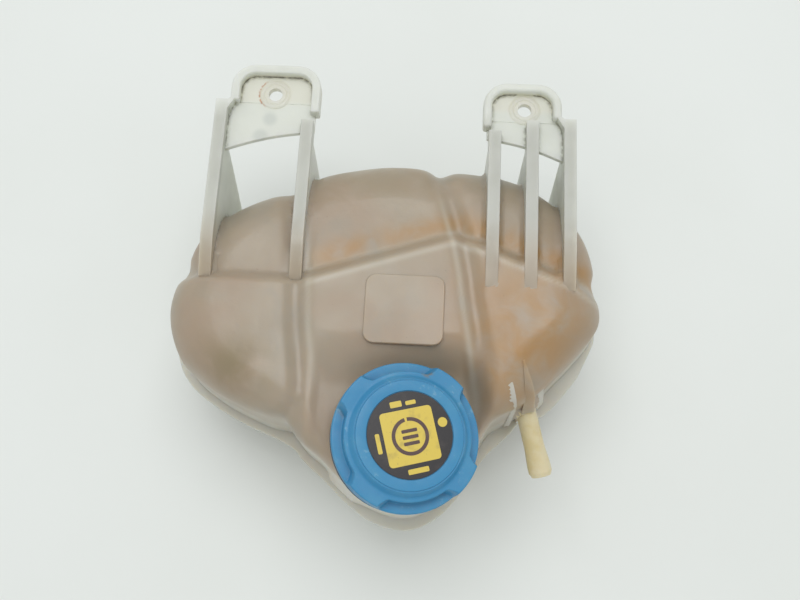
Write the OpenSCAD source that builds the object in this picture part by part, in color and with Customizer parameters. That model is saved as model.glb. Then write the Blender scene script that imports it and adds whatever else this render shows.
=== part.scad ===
// Coolant expansion tank: two welded plastic halves with a screwed pressure cap and its valve cartridge.
// Millimetres. X runs across the tank, Y from the filler nose to the mounting ears, Z up from the flat base.

/* [Tank] */
// Width across the dome of the upper half
tank_w = 209; // [195:1:225]
// Length of the dome from the filler nose to the back wall
tank_l = 172; // [160:1:186]
// Height of the weld seam above the flat base
seam_h = 50; // [42:1:58]
// Height of the upper half above the seam
dome_h = 60; // [54:1:66]
// Wall thickness of both halves
wall = 2.5; // [2:0.1:3]
// Fall of the dome's top from its middle to its edge
crown = 2.5; // [1:0.5:4]
// Step down from the front block to the back block
back_step = 5; // [3:0.5:7]
// Length of the slope between the two blocks
step_ramp = 7; // [4:0.5:10]
// Depth of the two valleys that part the side lobes from the middle
valley_d = 3; // [1:0.5:4]
// Half width of each valley
valley_w = 5; // [3:0.5:7]
// Draft of the side walls, measured at the seam
draft = 1.5; // [0.5:0.1:2.5]
// Thickness of the weld flange on each half
flange_t = 2; // [1.5:0.1:3]
// Rounding at the foot of the lower half
sump_round = 14; // [10:1:18]
// How far the lower half's walls lean in over their height
sump_lean = 4; // [2:0.5:6]

/* [Label pad] */
// Width of the raised pad on the top
pad_w = 37; // [30:1:44]
// Length of the raised pad
pad_l = 33; // [26:1:38]
// Height of the pad above the dome's middle
pad_h = 0.8; // [0.4:0.1:1.5]
// Corner radius of the pad
pad_r = 5; // [3:0.5:7]
// Place of the pad's middle across the tank
pad_x = 6.5; // [2:0.5:10]
// Place of the pad's middle along the tank, measured back from the neck's axis
pad_y = 59.3; // [57:0.5:62]

/* [Mounting ears] */
// Height of the ears' rims and ribs above the seam
ear_h = 60; // [56:1:64]
// Thickness of each rib
rib_t = 6; // [4.5:0.5:7]
// Depth of a rib where it carries the plate
rib_depth = 8; // [6:0.5:10]
// Place along the tank where the ribs rise out of the dome
rib_front = 14; // [8:1:20]
// Place of the gusset's back edge at the top
gusset_back = 86; // [84:0.5:90]
// Thickness of an ear's plate
plate_t = 3; // [2.5:0.5:4]
// Bow of the plate's front edge
plate_bow = 2; // [0:0.5:3]
// Slant of the plate's front edge towards the outer rib
plate_slant = 7; // [5:0.5:9]
// Depth of the plate below the rim
plate_sink = 5; // [3:0.5:6]
// Width of the raised rim round a plate
rim_w = 4.3; // [3.5:0.1:5.5]
// Outer corner radius of the rim
rim_r = 12; // [8:0.5:14]
// Bolt hole radius
bolt_r = 3.5; // [3:0.1:4.2]
// Radius of the boss round the bolt hole
boss_r = 8.5; // [7.5:0.5:9.5]
// Height of the boss above the plate
boss_h = 1.5; // [1:0.5:2.5]

/* [Left ear] */
// Left side of the left ear's rim
left_x0 = -85; // [-87:0.5:-83]
// Right side of the left ear's rim
left_x1 = -40.5; // [-42:0.5:-39]
// Back of the left ear
left_back = 124.5; // [120:0.5:130]
// Bolt hole across the tank
left_hole_x = -63.5; // [-66:0.5:-61]
// Bolt hole along the tank
left_hole_y = 110.5; // [107:0.5:113]

/* [Right ear] */
// Left side of the right ear's rim
right_x0 = 40.5; // [39:0.5:42]
// Right side of the right ear's rim
right_x1 = 79; // [77:0.5:81]
// Back of the right ear
right_back = 119.5; // [116:0.5:124]
// Bolt hole across the tank
right_hole_x = 61; // [59:0.5:63]
// Bolt hole along the tank
right_hole_y = 107; // [104:0.5:109]

/* [Filler neck] */
// Lean of the neck and its cap to the right, in degrees
neck_lean = 12; // [8:1:14]
// Place of the neck's lip across the tank
neck_x = 10.6; // [7:0.5:13]
// Distance from the nose's front to the neck's axis
nose_to_neck = 31; // [30:0.5:36]
// Height of the neck's lip above the seam
lip_h = 67; // [65:1:72]
// Length of neck that stands out of the nose
neck_l = 20; // [18.5:0.5:23]
// Bore radius of the neck
neck_bore_r = 22.5; // [21.5:0.1:23]
// Outside radius of the neck below its thread
neck_r = 26.5; // [26:0.1:27]
// Outside radius of the neck's lip, above the thread
lip_r = 25.2; // [24.7:0.1:25.4]
// Length of the lip above the thread
lip_l = 3.6; // [3.2:0.1:4]

/* [Cap thread] */
// Rise of the thread in one turn
pitch = 4; // [3.5:0.1:4.5]
// Turns of thread on the neck and in the cap
thread_turns = 1.5; // [1.25:0.25:1.5]
// Height of the thread's ridge
thread_d = 1.8; // [1.4:0.1:2]
// Width of the ridge at its root
thread_root_w = 2; // [1.6:0.1:2.2]
// Width of the ridge at its crest
thread_crest_w = 1; // [0.8:0.1:1.2]
// Radial room between the ridges and the walls they face
thread_gap = 0.5; // [0.4:0.1:0.6]

/* [Cap] */
// Outside radius of the cap's low rim and wings
cap_r = 33; // [32:0.5:35]
// How far the skirt is set in below the low rim
skirt_set = 1.8; // [1:0.1:2]
// Length of the skirt below the neck's lip
skirt_l = 12.5; // [11.5:0.5:14]
// Height of the low rim between the wings, below the lip
low_rim = 1; // [0.5:0.5:2]
// Height of the shoulder and the wings above the lip
shoulder_h = 4.6; // [4.4:0.2:5.4]
// Radius of the shoulder
shoulder_r = 28.2; // [27.8:0.2:29]
// Height of the plateau above the lip
plateau_h = 8; // [7.5:0.5:9.5]
// Radius of the plateau at its top
plateau_r = 24; // [22.5:0.5:25]
// Slope of the plateau's side, across
plateau_slope = 2; // [1:0.5:3]
// Number of wings
wings = 4; // [3:1:6]
// Width of each wing in degrees
wing_deg = 36; // [28:1:42]
// Turn of the first wing from the X axis, in degrees
wing_turn = 56; // [40:1:70]
// Radius of the label disc
label_r = 20; // [17:0.5:21]
// Thickness of the label disc
label_t = 0.3; // [0.2:0.1:0.4]
// Depth of the label's recess below the plateau
label_sink = 0.5; // [0.5:0.1:0.8]
// Thickness of the cap's roof
roof_t = 2; // [1.6:0.1:2.4]
// Radius of the hub that turns in the cartridge's head
hub_r = 7.9; // [7:0.1:9]
// Wall of the hub
hub_wall = 2.6; // [2:0.1:3]
// Depth of the clip's groove in the hub
clip_bite = 1; // [0.8:0.1:1.2]
// Width of the clip ring
clip_w = 3.2; // [2.8:0.1:3.6]
// Thickness of the clip ring
clip_t = 1; // [0.8:0.1:1.2]
// Open part of the clip ring in degrees
clip_open = 40; // [25:5:60]

/* [Valve cartridge] */
// Length of the cartridge below the lip
housing_l = 26; // [25:0.5:30]
// Room between the cartridge and the neck's bore
housing_gap = 0.3; // [0.25:0.05:0.4]
// Wall thickness of the cartridge
housing_wall = 3.7; // [3.4:0.1:4]
// Thickness of the cartridge's head
head_t = 2.4; // [2:0.1:2.6]
// Thickness of the cartridge's floor
floor_t = 2; // [1.6:0.1:2.4]
// Radius of the valve opening in the floor
port_r = 12; // [11:0.5:12.5]
// Height of the seat round the valve opening
seat_h = 1; // [0.6:0.1:1.4]
// Width of the seat
seat_w = 1.4; // [1:0.1:1.8]
// Radius of the section of the O-ring
ring_section = 1.3; // [1.1:0.1:1.4]
// Distance from the lip to the O-ring
ring_drop = 17; // [15:0.5:19]
// Radial room between the O-ring and the bore
ring_fit = 0.08; // [0.02:0.01:0.1]
// Radius of the relief holes in the cartridge's wall
relief_r = 2; // [1.5:0.1:2.4]
// Distance from the lip to the relief holes
relief_drop = 9; // [8:0.5:11]
// Number of relief holes
reliefs = 4; // [3:1:6]

/* [Valves] */
// Thickness of the pressure valve's plate
valve_t = 1.5; // [1.2:0.1:2]
// Thickness of the pressure valve's rubber seal
seal_t = 2; // [1.5:0.1:2.5]
// Lift of the pressure valve
valve_lift = 2; // [1:0.1:2.5]
// Mean radius of the pressure spring
spring_r = 10; // [9.5:0.1:10.5]
// Wire radius of the pressure spring
spring_wire = 0.8; // [0.6:0.1:0.9]
// Turns of the pressure spring
spring_turns = 4; // [3:1:5]
// Radius of the vacuum valve's disc
vacuum_r = 6.4; // [5.8:0.1:6.6]
// Thickness of the vacuum valve's disc
vacuum_t = 1.2; // [1:0.1:1.5]
// Stem radius of the vacuum valve
stem_r = 1.5; // [1.2:0.1:1.8]
// Running room round the stem
stem_fit = 0.05; // [0.02:0.01:0.1]
// Mean radius of the vacuum spring
vacuum_spring_r = 2.6; // [2.4:0.1:2.9]
// Wire radius of the vacuum spring
vacuum_wire = 0.35; // [0.3:0.05:0.4]
// Turns of the vacuum spring
vacuum_turns = 4; // [3:1:5]
// Length of the vacuum spring
vacuum_spring_l = 4; // [3.5:0.5:5]

/* [Vent spigot] */
// Outside radius of the vent tube
vent_r = 4.9; // [4.5:0.1:5.2]
// Bore radius of the vent tube
vent_bore_r = 2.8; // [2:0.1:3.2]
// Radius of the swell at the tube's end
vent_swell_r = 5.7; // [5.5:0.1:6]
// Length of the tube beyond its sleeve
vent_l = 27; // [24:1:30]
// Outside radius of the sleeve at the tube's root
sleeve_r = 6.5; // [6:0.1:7.5]
// Length of the sleeve from its root inside the dome
sleeve_l = 24; // [22:1:27]
// Direction of the spigot's root seen from the tank's middle, in degrees
vent_deg = 342; // [338:1:346]
// Depth of the root inside the dome's wall
vent_set = 16; // [13:1:18]
// Height of the root above the seam
vent_h = 28; // [24:1:32]
// Direction that the spigot points in plan, in degrees
vent_turn = -74; // [-80:1:-68]
// Dip of the spigot towards its end, in degrees
vent_dip = 11; // [6:1:14]
// Thickness of the three webs that brace the spigot
web_t = 3.2; // [2.5:0.1:4]
// Distance of the outer webs from the spigot's axis
web_out = 8.5; // [8:0.5:10]

/* [Outlet spigot] */
// Outside radius of the outlet tube
outlet_r = 9.5; // [9:0.5:10.5]
// Bore radius of the outlet tube
outlet_bore_r = 7; // [6:0.1:7.5]
// Radius of the swell at the tube's end
outlet_swell_r = 10.4; // [10.2:0.1:11.2]
// Length of the outlet tube beyond the back wall
outlet_l = 23; // [22:1:30]
// Height of the outlet tube's axis above the base
outlet_z = 21; // [19:1:26]
// Place of the outlet tube across the tank
outlet_x = -8; // [-14:1:0]

/* [Hidden] */
$fn = 64;

// Plan of the dome's wall: direction in degrees, distance from the middle
DOME_PLAN = [
    [2, 100], [10, 100.5], [14, 100.5], [18, 103.5], [29, 105], [41, 101.8], [52, 97], [63, 90],
    [70, 86], [75.5, 82], [80, 83], [92, 82.8], [105, 83], [118, 85], [129, 85.6], [136, 90.5],
    [146, 98], [158, 105.5], [164, 106.2], [168, 104.6], [173, 107], [180, 108], [188, 105.5],
    [195, 101], [204.4, 90.6], [210.5, 83.8], [217, 77.6], [222, 73.4], [227, 68.6], [230, 69],
    [236, 71], [247.5, 73.5], [257, 79.5], [266, 86], [277, 90], [287, 86.5], [298, 78], [308, 71],
    [316, 67.8], [322, 69.6], [330, 74.2], [337, 78], [345, 83], [353, 90.4],
];
// Width of the weld flange: direction in degrees, width beyond the dome's wall
FLANGE_PLAN = [
    [0, 3], [12, 2.5], [30, 3], [90, 3.5], [165, 3.5], [180, 3.5], [192, 5], [205, 5], [214, 5], [222, 5],
    [227, 7], [233, 4.5], [247, 5.5], [266, 6], [277, 6], [292, 5], [308, 5], [316, 7], [322, 6],
    [329, 3], [333, 7], [338, 8.5], [350, 7.5],
];
// Rounding of the dome's upper edge: direction in degrees, radius
EDGE_PLAN = [
    [0, 24], [60, 24], [150, 24], [200, 24], [212, 20], [228, 14], [245, 12], [300, 12],
    [318, 14], [335, 20], [350, 24],
];
// Line of the step between the blocks: place across the tank, place along it
STEP_LINE = [[-110, 15], [-44, 15], [30, 39.5], [92, 17], [110, 12]];
// Lines of the two valleys: place along the tank, place across it
LEFT_VALLEY = [[-57, -39], [-33, -39], [-19, -41], [-8, -43], [17, -45], [66, -52], [90, -55]];
RIGHT_VALLEY = [[-52, 47], [-38, 46.5], [-15, 42], [6, 38], [20, 36], [39, 32], [59, 26], [80, 20]];
// Where the top slopes down to the nose: start and end, measured from the neck's axis
NOSE_FALL = [50.3, 22.3];
// Room between flat faces that rest on each other or slide past
rest_gap = 0.1;
// Room between round faces that pass each other
pass_gap = 0.3;
// Room between round pieces that are snapped together
snap_gap = 0.05;
// Overhang of a cutting tool past the face that it cuts
past = 1;
// Chamfer on the cap's outer edges
edge_chamfer = 0.8;

// Places of the ribs' back ends, measured forward from the ear's back
LEFT_RIB_ENDS = [19.5, 29];
RIGHT_RIB_ENDS = [26, 0, 18.5];
// Places of the rims' open ends, measured forward from the ear's back
LEFT_RIM_END = 25;
RIGHT_RIM_END = 24;
// How much less the front edge slants towards the inner side
INNER_SLANT = 2;
// Places along the tank where each gusset meets the flange, from left to right
LEFT_FEET = [68, 80];
RIGHT_FEET = [83, 83, 78];
// Length of each cone of a spigot's swell, and of the round land between the cones
SWELL_L = 4;
SWELL_LAND = 2;
// Middle web: length beyond the sleeve, height over the axis at the start and at the end
MIDDLE_WEB = [-1, 22, 2];
// Outer webs: side, length beyond the sleeve, height over the axis at the start and over the seam at the end
OUTER_WEBS = [[1, 0, 3, 8], [-1, -2, -2, 6]];
// Distance from the spigot's root to the outer webs' start
OUTER_WEB_START = 4;
// Height of the cap's low rim, which stands out from the skirt
RIM_H = 2.5;

SIDES = 90;
ARC_STEPS = 8;
TURN_STEPS = 36;
COIL_STEPS = 20;
WIRE_SIDES = 6;
// Spokes that carry the stem's guide, and the guides at the valve's edge
SPOKES = 3;
SPOKE_W = 1.6;
TOP_RINGS = [0.12, 0.24, 0.34, 0.43, 0.52, 0.6, 0.68, 0.76, 0.84, 0.92, 1];
EDGE_ANGLES = [18, 36, 54, 72, 90];
INNER_ANGLES = [30, 60, 90];
SUMP_ANGLES = [30, 60, 90];

function smooth(a, b, v) = let(t = min(1, max(0, (v - a) / (b - a)))) t * t * (3 - 2 * t);
function mix(a, b, t) = a + (b - a) * t;

// Smooth closed curve through a table of [degrees, value]
function wrapped(t, i) =
    let(n = len(t), k = (i + n) % n)
    [t[k][0] + (i < 0 ? -360 : i >= n ? 360 : 0), t[k][1]];
function slope(t, i) = let(a = wrapped(t, i - 1), b = wrapped(t, i + 1)) (b[1] - a[1]) / (b[0] - a[0]);
function at(t, deg) =
    let(
        a = deg < t[0][0] ? deg + 360 : deg,
        i = max([for (k = [0:len(t) - 1]) if (t[k][0] <= a) k]),
        p = t[i], q = wrapped(t, i + 1), w = q[0] - p[0], s = (a - p[0]) / w,
        j = (i + 1) % len(t)
    )
    (2 * s ^ 3 - 3 * s ^ 2 + 1) * p[1] + (s ^ 3 - 2 * s ^ 2 + s) * w * slope(t, i)
    + (3 * s ^ 2 - 2 * s ^ 3) * q[1] + (s ^ 3 - s ^ 2) * w * slope(t, j);

plan_x = [for (p = DOME_PLAN) p[1] * cos(p[0])];
plan_y = [for (p = DOME_PLAN) p[1] * sin(p[0])];
stretch_x = tank_w / (max(plan_x) - min(plan_x));
stretch_y = tank_l / (max(plan_y) - min(plan_y));
nose_y = min(plan_y) * stretch_y;
back_y = at(DOME_PLAN, 90) * stretch_y;

top_h = seam_h + dome_h;
ear_top = seam_h + ear_h;
lip_z = seam_h + lip_h;
neck_y = nose_y + nose_to_neck;
neck_dir = [sin(neck_lean), 0, cos(neck_lean)];
neck_foot = [neck_x, neck_y, lip_z] - neck_l * neck_dir;

// Height of the dome's top surface over a point of the plan
function nose_share(u, v) =
    let(a = lookup(v, LEFT_VALLEY), b = lookup(v, RIGHT_VALLEY))
    smooth(NOSE_FALL[0], NOSE_FALL[1], v * stretch_y - neck_y)
    * smooth(a - 3, a + 9, u) * smooth(b + 3, b - 9, u);
function valley(u, line) = valley_d * exp(-(((u - line) / valley_w) ^ 2));
function top_z(x, y) =
    let(
        u = x / stretch_x, v = y / stretch_y,
        block = top_h - crown * (u * u + v * v) / (tank_w * tank_l / 4)
            - back_step * smooth(-step_ramp / 2, step_ramp / 2, v - lookup(u, STEP_LINE))
            - valley(u, lookup(v, LEFT_VALLEY)) - valley(u, lookup(v, RIGHT_VALLEY)),
        nose = neck_foot[2] - tan(neck_lean) * (x - neck_foot[0])
    )
    mix(block, min(block, nose), nose_share(u, v));

function on_plan(r, deg) = [r * cos(deg) * stretch_x, r * sin(deg) * stretch_y];
function ring_at(r, deg, drop) = let(p = on_plan(r, deg)) [p[0], p[1], top_z(p[0], p[1]) - drop];
function dome_ring(inset, share) =
    [for (k = [0:SIDES - 1]) let(d = k * 360 / SIDES, r = at(DOME_PLAN, d) - at(EDGE_PLAN, d))
        ring_at(r * share, d, inset)];
function edge_ring(inset, a) =
    [for (k = [0:SIDES - 1]) let(d = k * 360 / SIDES, e = at(EDGE_PLAN, d), r = at(DOME_PLAN, d) - e)
        ring_at(r + (e - inset) * sin(a), d, e - (e - inset) * cos(a))];
function level_ring(extra, flange, z) =
    [for (k = [0:SIDES - 1]) let(d = k * 360 / SIDES,
        p = on_plan(at(DOME_PLAN, d) + extra + (flange ? at(FLANGE_PLAN, d) : 0), d)) [p[0], p[1], z]];

// Closed solid through rings of SIDES points, with a pole at each end; the rings run from the top pole down
module ringed(top, rings, bottom) {
    n = len(rings);
    points = concat([top], [for (r = rings) each r], [bottom]);
    last = len(points) - 1;
    faces = concat(
        [for (k = [0:SIDES - 1]) [0, 1 + (k + 1) % SIDES, 1 + k]],
        [for (i = [0:n - 2], k = [0:SIDES - 1]) let(j = (k + 1) % SIDES, a = 1 + i * SIDES, b = a + SIDES)
            each [[a + k, a + j, b + j], [a + k, b + j, b + k]]],
        [for (k = [0:SIDES - 1]) let(a = 1 + (n - 1) * SIDES) [last, a + k, a + (k + 1) % SIDES]]
    );
    polyhedron(points, faces, convexity = 10);
}

module dome_outside() {
    ringed(
        [0, 0, top_z(0, 0)],
        concat(
            [for (t = TOP_RINGS) dome_ring(0, t)],
            [for (a = EDGE_ANGLES) edge_ring(0, a)],
            [level_ring(draft, false, seam_h + flange_t), level_ring(draft, true, seam_h + flange_t),
                level_ring(draft, true, seam_h)]
        ),
        [0, 0, seam_h]
    );
}

module dome_inside() {
    ringed(
        [0, 0, top_z(0, 0) - wall],
        concat(
            [for (t = TOP_RINGS) dome_ring(wall, t)],
            [for (a = INNER_ANGLES) edge_ring(wall, a)],
            [level_ring(draft - wall, false, seam_h), level_ring(draft - wall, false, seam_h - wall)]
        ),
        [0, 0, seam_h - wall]
    );
}

module in_cap_frame() {
    translate([neck_x, neck_y, lip_z]) rotate([0, neck_lean, 0]) children();
}

module ring(r_out, r_in, z0, z1) {
    translate([0, 0, z0]) difference() {
        cylinder(r = r_out, h = z1 - z0);
        translate([0, 0, -1]) cylinder(r = r_in, h = z1 - z0 + 2);
    }
}

// Prism from an outline of [Y, Z] points, as thick as t, centred on x
module side_prism(x, t, outline) {
    translate([x - t / 2, 0, 0]) rotate([90, 0, 90]) linear_extrude(t) polygon(outline);
}

// Rib of an ear: shallow arm under the plate, then a gusset down to the weld flange
module rib(x, back, foot) {
    low = seam_h + flange_t / 2;
    arm = ear_top - rib_depth;
    side_prism(x, rib_t, [
        [rib_front, ear_top], [rib_front, low], [foot, low], [gusset_back, arm], [back, arm], [back, ear_top],
    ]);
}

function arc(x, y, r, a, b) =
    [for (k = [0:ARC_STEPS]) let(d = a + (b - a) * k / ARC_STEPS) [x + r * cos(d), y + r * sin(d)]];

// Raised rim round the back of a plate, open to the front
module rim(x0, x1, back, front0, front1) {
    inner_r = rim_r - rim_w;
    low = ear_top - plate_sink - plate_t;
    translate([0, 0, low]) linear_extrude(plate_sink + plate_t) polygon(concat(
        [[x1, front1]], arc(x1 - rim_r, back - rim_r, rim_r, 0, 90),
        arc(x0 + rim_r, back - rim_r, rim_r, 90, 180), [[x0, front0], [x0 + rim_w, front0]],
        arc(x0 + rim_r, back - rim_r, inner_r, 180, 90), arc(x1 - rim_r, back - rim_r, inner_r, 90, 0),
        [[x1 - rim_w, front1]]
    ));
}

// Plate of an ear with its slanting front edge, and the boss that takes the bolt
module plate(x0, x1, front0, front1, left, right, back, hole) {
    low = ear_top - plate_sink - plate_t;
    r = rim_r - rim_w / 2;
    translate([0, 0, low]) linear_extrude(plate_t) polygon(concat(
        [[x0, front0], [(x0 + x1) / 2, (front0 + front1) / 2 + plate_bow], [x1, front1]],
        arc(right - rim_r, back - rim_r, r, 0, 90), arc(left + rim_r, back - rim_r, r, 90, 180)
    ));
    translate([hole[0], hole[1], low]) cylinder(r = boss_r, h = plate_t + boss_h);
}

module bolt_hole(hole) {
    translate([hole[0], hole[1], ear_top - plate_sink - plate_t - past])
        cylinder(r = bolt_r, h = plate_t + boss_h + 2 * past);
}

module left_ear() {
    outer = left_x0 - rib_t / 2 - 1;
    inner = left_x1 - rim_w - 1;
    rib(outer, left_back - LEFT_RIB_ENDS[0], LEFT_FEET[0]);
    rib(inner, left_back - LEFT_RIB_ENDS[1], LEFT_FEET[1]);
    rim(left_x0, left_x1, left_back, left_back - LEFT_RIB_ENDS[0], left_back - LEFT_RIM_END);
    plate(
        outer, left_x1 - rim_w / 2, gusset_back - plate_slant, gusset_back + plate_slant - INNER_SLANT,
        left_x0, left_x1, left_back, [left_hole_x, left_hole_y]
    );
}

module right_ear() {
    inner = right_x0 + rib_t;
    outer = right_x1 + rib_t / 2 + 1;
    rib(inner, right_back - RIGHT_RIB_ENDS[0], RIGHT_FEET[0]);
    rib((inner + outer) / 2, right_hole_y - boss_r + 1, RIGHT_FEET[1]);
    rib(outer, right_back - RIGHT_RIB_ENDS[2], RIGHT_FEET[2]);
    rim(right_x0, right_x1, right_back, right_back - RIGHT_RIM_END, right_back - RIGHT_RIB_ENDS[2]);
    plate(
        right_x0 + rim_w / 2, outer, gusset_back + plate_slant - INNER_SLANT, gusset_back - plate_slant,
        right_x0, right_x1, right_back, [right_hole_x, right_hole_y]
    );
}

// Thread ridge between radius a and the larger radius b, as wide as wa and wb there
module ridge(a, b, wa, wb, z0, turns, start) {
    n = turns * TURN_STEPS;
    points = [for (i = [0:n], q = [[a, -wa], [b, -wb], [b, wb], [a, wa]])
        let(d = start + i * 360 / TURN_STEPS)
        [q[0] * cos(d), q[0] * sin(d), z0 + q[1] / 2 + pitch * i / TURN_STEPS]];
    faces = concat(
        [[2, 1, 0], [3, 2, 0]],
        [for (i = [0:n - 1], k = [0:3]) let(j = (k + 1) % 4, m = 4 * i)
            each [[m + j, m + 4 + k, m + k], [m + 4 + j, m + 4 + k, m + j]]],
        [[4 * n, 4 * n + 1, 4 * n + 2], [4 * n, 4 * n + 2, 4 * n + 3]]
    );
    polyhedron(points, faces, convexity = 10);
}

cap_bore_r = neck_r + thread_d + thread_gap;
thread_z = -skirt_l + thread_root_w / 2 + rest_gap;

module neck_outside() {
    in_cap_frame() {
        translate([0, 0, -neck_l - 2 * wall]) cylinder(r = neck_r, h = neck_l + 2 * wall - lip_l);
        translate([0, 0, -lip_l - past]) cylinder(r = lip_r, h = lip_l + past);
        ridge(neck_r - snap_gap, neck_r + thread_d, thread_root_w, thread_crest_w, thread_z, thread_turns, 0);
    }
}

module neck_inside() {
    in_cap_frame() translate([0, 0, -neck_l - 2 * wall - past])
        cylinder(r = neck_bore_r, h = neck_l + 2 * wall + 2 * past);
}

vent_root = on_plan(at(DOME_PLAN, vent_deg) - vent_set, vent_deg);

module in_vent_frame() {
    translate([vent_root[0], vent_root[1], seam_h + vent_h]) rotate([0, 90 + vent_dip, vent_turn]) children();
}

// Web along the spigot: its top edge falls from its start to its end
module vent_web(side, from, to, h0, h1) {
    low = seam_h + flange_t / 2;
    translate([vent_root[0], vent_root[1], 0]) rotate([0, 0, vent_turn]) translate([0, side + web_t / 2, 0])
        rotate([90, 0, 0]) linear_extrude(web_t) polygon([[from, low], [to, low], [to, h1], [from, h0]]);
}

// Swell at a spigot's end, which the hose is stretched over
module swell(tube_r, swell_r, end) {
    rotate_extrude() polygon([
        [0, end - 2 * SWELL_L - SWELL_LAND], [tube_r, end - 2 * SWELL_L - SWELL_LAND],
        [swell_r, end - SWELL_L - SWELL_LAND], [swell_r, end - SWELL_L], [tube_r, end], [0, end],
    ]);
}

module vent_outside() {
    axis_h = seam_h + vent_h;
    in_vent_frame() {
        cylinder(r = sleeve_r, h = sleeve_l);
        cylinder(r = vent_r, h = sleeve_l + vent_l);
        swell(vent_r, vent_swell_r, sleeve_l + vent_l);
    }
    vent_web(0, 0, sleeve_l + MIDDLE_WEB[0], axis_h + MIDDLE_WEB[1], axis_h + MIDDLE_WEB[2]);
    for (w = OUTER_WEBS)
        vent_web(w[0] * web_out, OUTER_WEB_START, sleeve_l + w[1], axis_h + w[2], seam_h + w[3]);
}

module label_pad() {
    x = pad_w / 2 - pad_r;
    y = pad_l / 2 - pad_r;
    translate([pad_x, neck_y + pad_y, top_h - wall]) linear_extrude(wall + pad_h) polygon(concat(
        arc(x, y, pad_r, 0, 90), arc(-x, y, pad_r, 90, 180),
        arc(-x, -y, pad_r, 180, 270), arc(x, -y, pad_r, 270, 360)
    ));
}

module upper_shell() {
    color("tan") difference() {
        union() {
            dome_outside();
            left_ear();
            right_ear();
            neck_outside();
            vent_outside();
            label_pad();
        }
        dome_inside();
        neck_inside();
        in_vent_frame() cylinder(r = vent_bore_r, h = sleeve_l + vent_l + past);
        bolt_hole([left_hole_x, left_hole_y]);
        bolt_hole([right_hole_x, right_hole_y]);
    }
}

// Wall of the lower half at a height: how far it lies outside the dome's plan
function lean_at(z) = draft - sump_lean * (seam_h - z) / seam_h;

module sump(inset, top, bottom) {
    r = sump_round - inset;
    foot = lean_at(sump_round) - inset;
    ringed(
        [0, 0, top],
        concat(
            inset > 0
                ? [level_ring(lean_at(seam_h) - inset, false, top)]
                : [level_ring(draft, true, top), level_ring(draft, true, top - flange_t)],
            [level_ring(lean_at(seam_h - flange_t) - inset, false, seam_h - flange_t)],
            [for (a = SUMP_ANGLES) level_ring(foot - r * (1 - cos(a)), false, bottom + r * (1 - sin(a)))]
        ),
        [0, 0, bottom]
    );
}

module outlet_frame(back) {
    translate([outlet_x, back_y - back, outlet_z]) rotate([-90, 0, 0]) children();
}

module lower_shell() {
    color("tan") difference() {
        union() {
            sump(0, seam_h, 0);
            outlet_frame(sump_round) {
                cylinder(r = outlet_r, h = sump_round + outlet_l);
                swell(outlet_r, outlet_swell_r, sump_round + outlet_l);
            }
        }
        sump(wall, seam_h + past, wall);
        outlet_frame(2 * sump_round) cylinder(r = outlet_bore_r, h = 2 * sump_round + outlet_l + past);
    }
}

// Cap, in the frame of the neck: height is measured from the lip
ceiling = rest_gap + head_t + pass_gap;
cavity_r = lip_r + past;
label_floor = plateau_h - label_sink;
clip_z = -rest_gap - clip_t - pass_gap;
hub_end = clip_z - 1;

module cap_wing() {
    r = cap_r - snap_gap;
    rotate_extrude(angle = wing_deg) polygon([
        [shoulder_r - 1, -low_rim], [r, -low_rim], [r, shoulder_h - edge_chamfer],
        [r - edge_chamfer, shoulder_h], [shoulder_r - 1, shoulder_h],
    ]);
}

module cap_knob() {
    hub_in = hub_r - hub_wall;
    skirt_r = cap_r - skirt_set;
    color("steelblue") in_cap_frame() {
        rotate_extrude() polygon([
            [cap_bore_r, -skirt_l], [skirt_r - edge_chamfer, -skirt_l], [skirt_r, -skirt_l + edge_chamfer],
            [skirt_r, -low_rim - RIM_H], [cap_r, -low_rim - RIM_H],
            [cap_r, -low_rim], [shoulder_r, -low_rim], [shoulder_r, shoulder_h],
            [plateau_r + plateau_slope, shoulder_h], [plateau_r, plateau_h - edge_chamfer / 2],
            [plateau_r - edge_chamfer / 2, plateau_h],
            [label_r + pass_gap, plateau_h], [label_r + pass_gap, label_floor], [0, label_floor],
            [0, label_floor - roof_t], [hub_in, label_floor - roof_t], [hub_in, hub_end], [hub_r, hub_end],
            [hub_r, clip_z - rest_gap], [hub_r - clip_bite, clip_z - rest_gap],
            [hub_r - clip_bite, clip_z + clip_t + rest_gap], [hub_r, clip_z + clip_t + rest_gap],
            [hub_r, ceiling], [hub_r + roof_t, ceiling], [hub_r + roof_t, label_floor - roof_t],
            [plateau_r - roof_t, label_floor - roof_t], [plateau_r - roof_t, ceiling],
            [cavity_r, ceiling], [cavity_r, -lip_l + pass_gap], [cap_bore_r, -lip_l + pass_gap],
        ]);
        for (k = [0:wings - 1]) rotate([0, 0, wing_turn + k * 360 / wings - wing_deg / 2]) cap_wing();
        ridge(
            cap_bore_r - thread_d, cap_bore_r + thread_d / 2, thread_crest_w, thread_root_w,
            thread_z, thread_turns - 0.25, 180
        );
    }
}

module cap_label() {
    color("gold") in_cap_frame() translate([0, 0, label_floor]) cylinder(r = label_r, h = label_t);
}

module cap_clip() {
    color("dimgray") in_cap_frame() rotate([0, 0, clip_open / 2]) rotate_extrude(angle = 360 - clip_open)
        translate([hub_r - clip_bite + snap_gap, clip_z]) square([clip_w, clip_t]);
}

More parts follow.
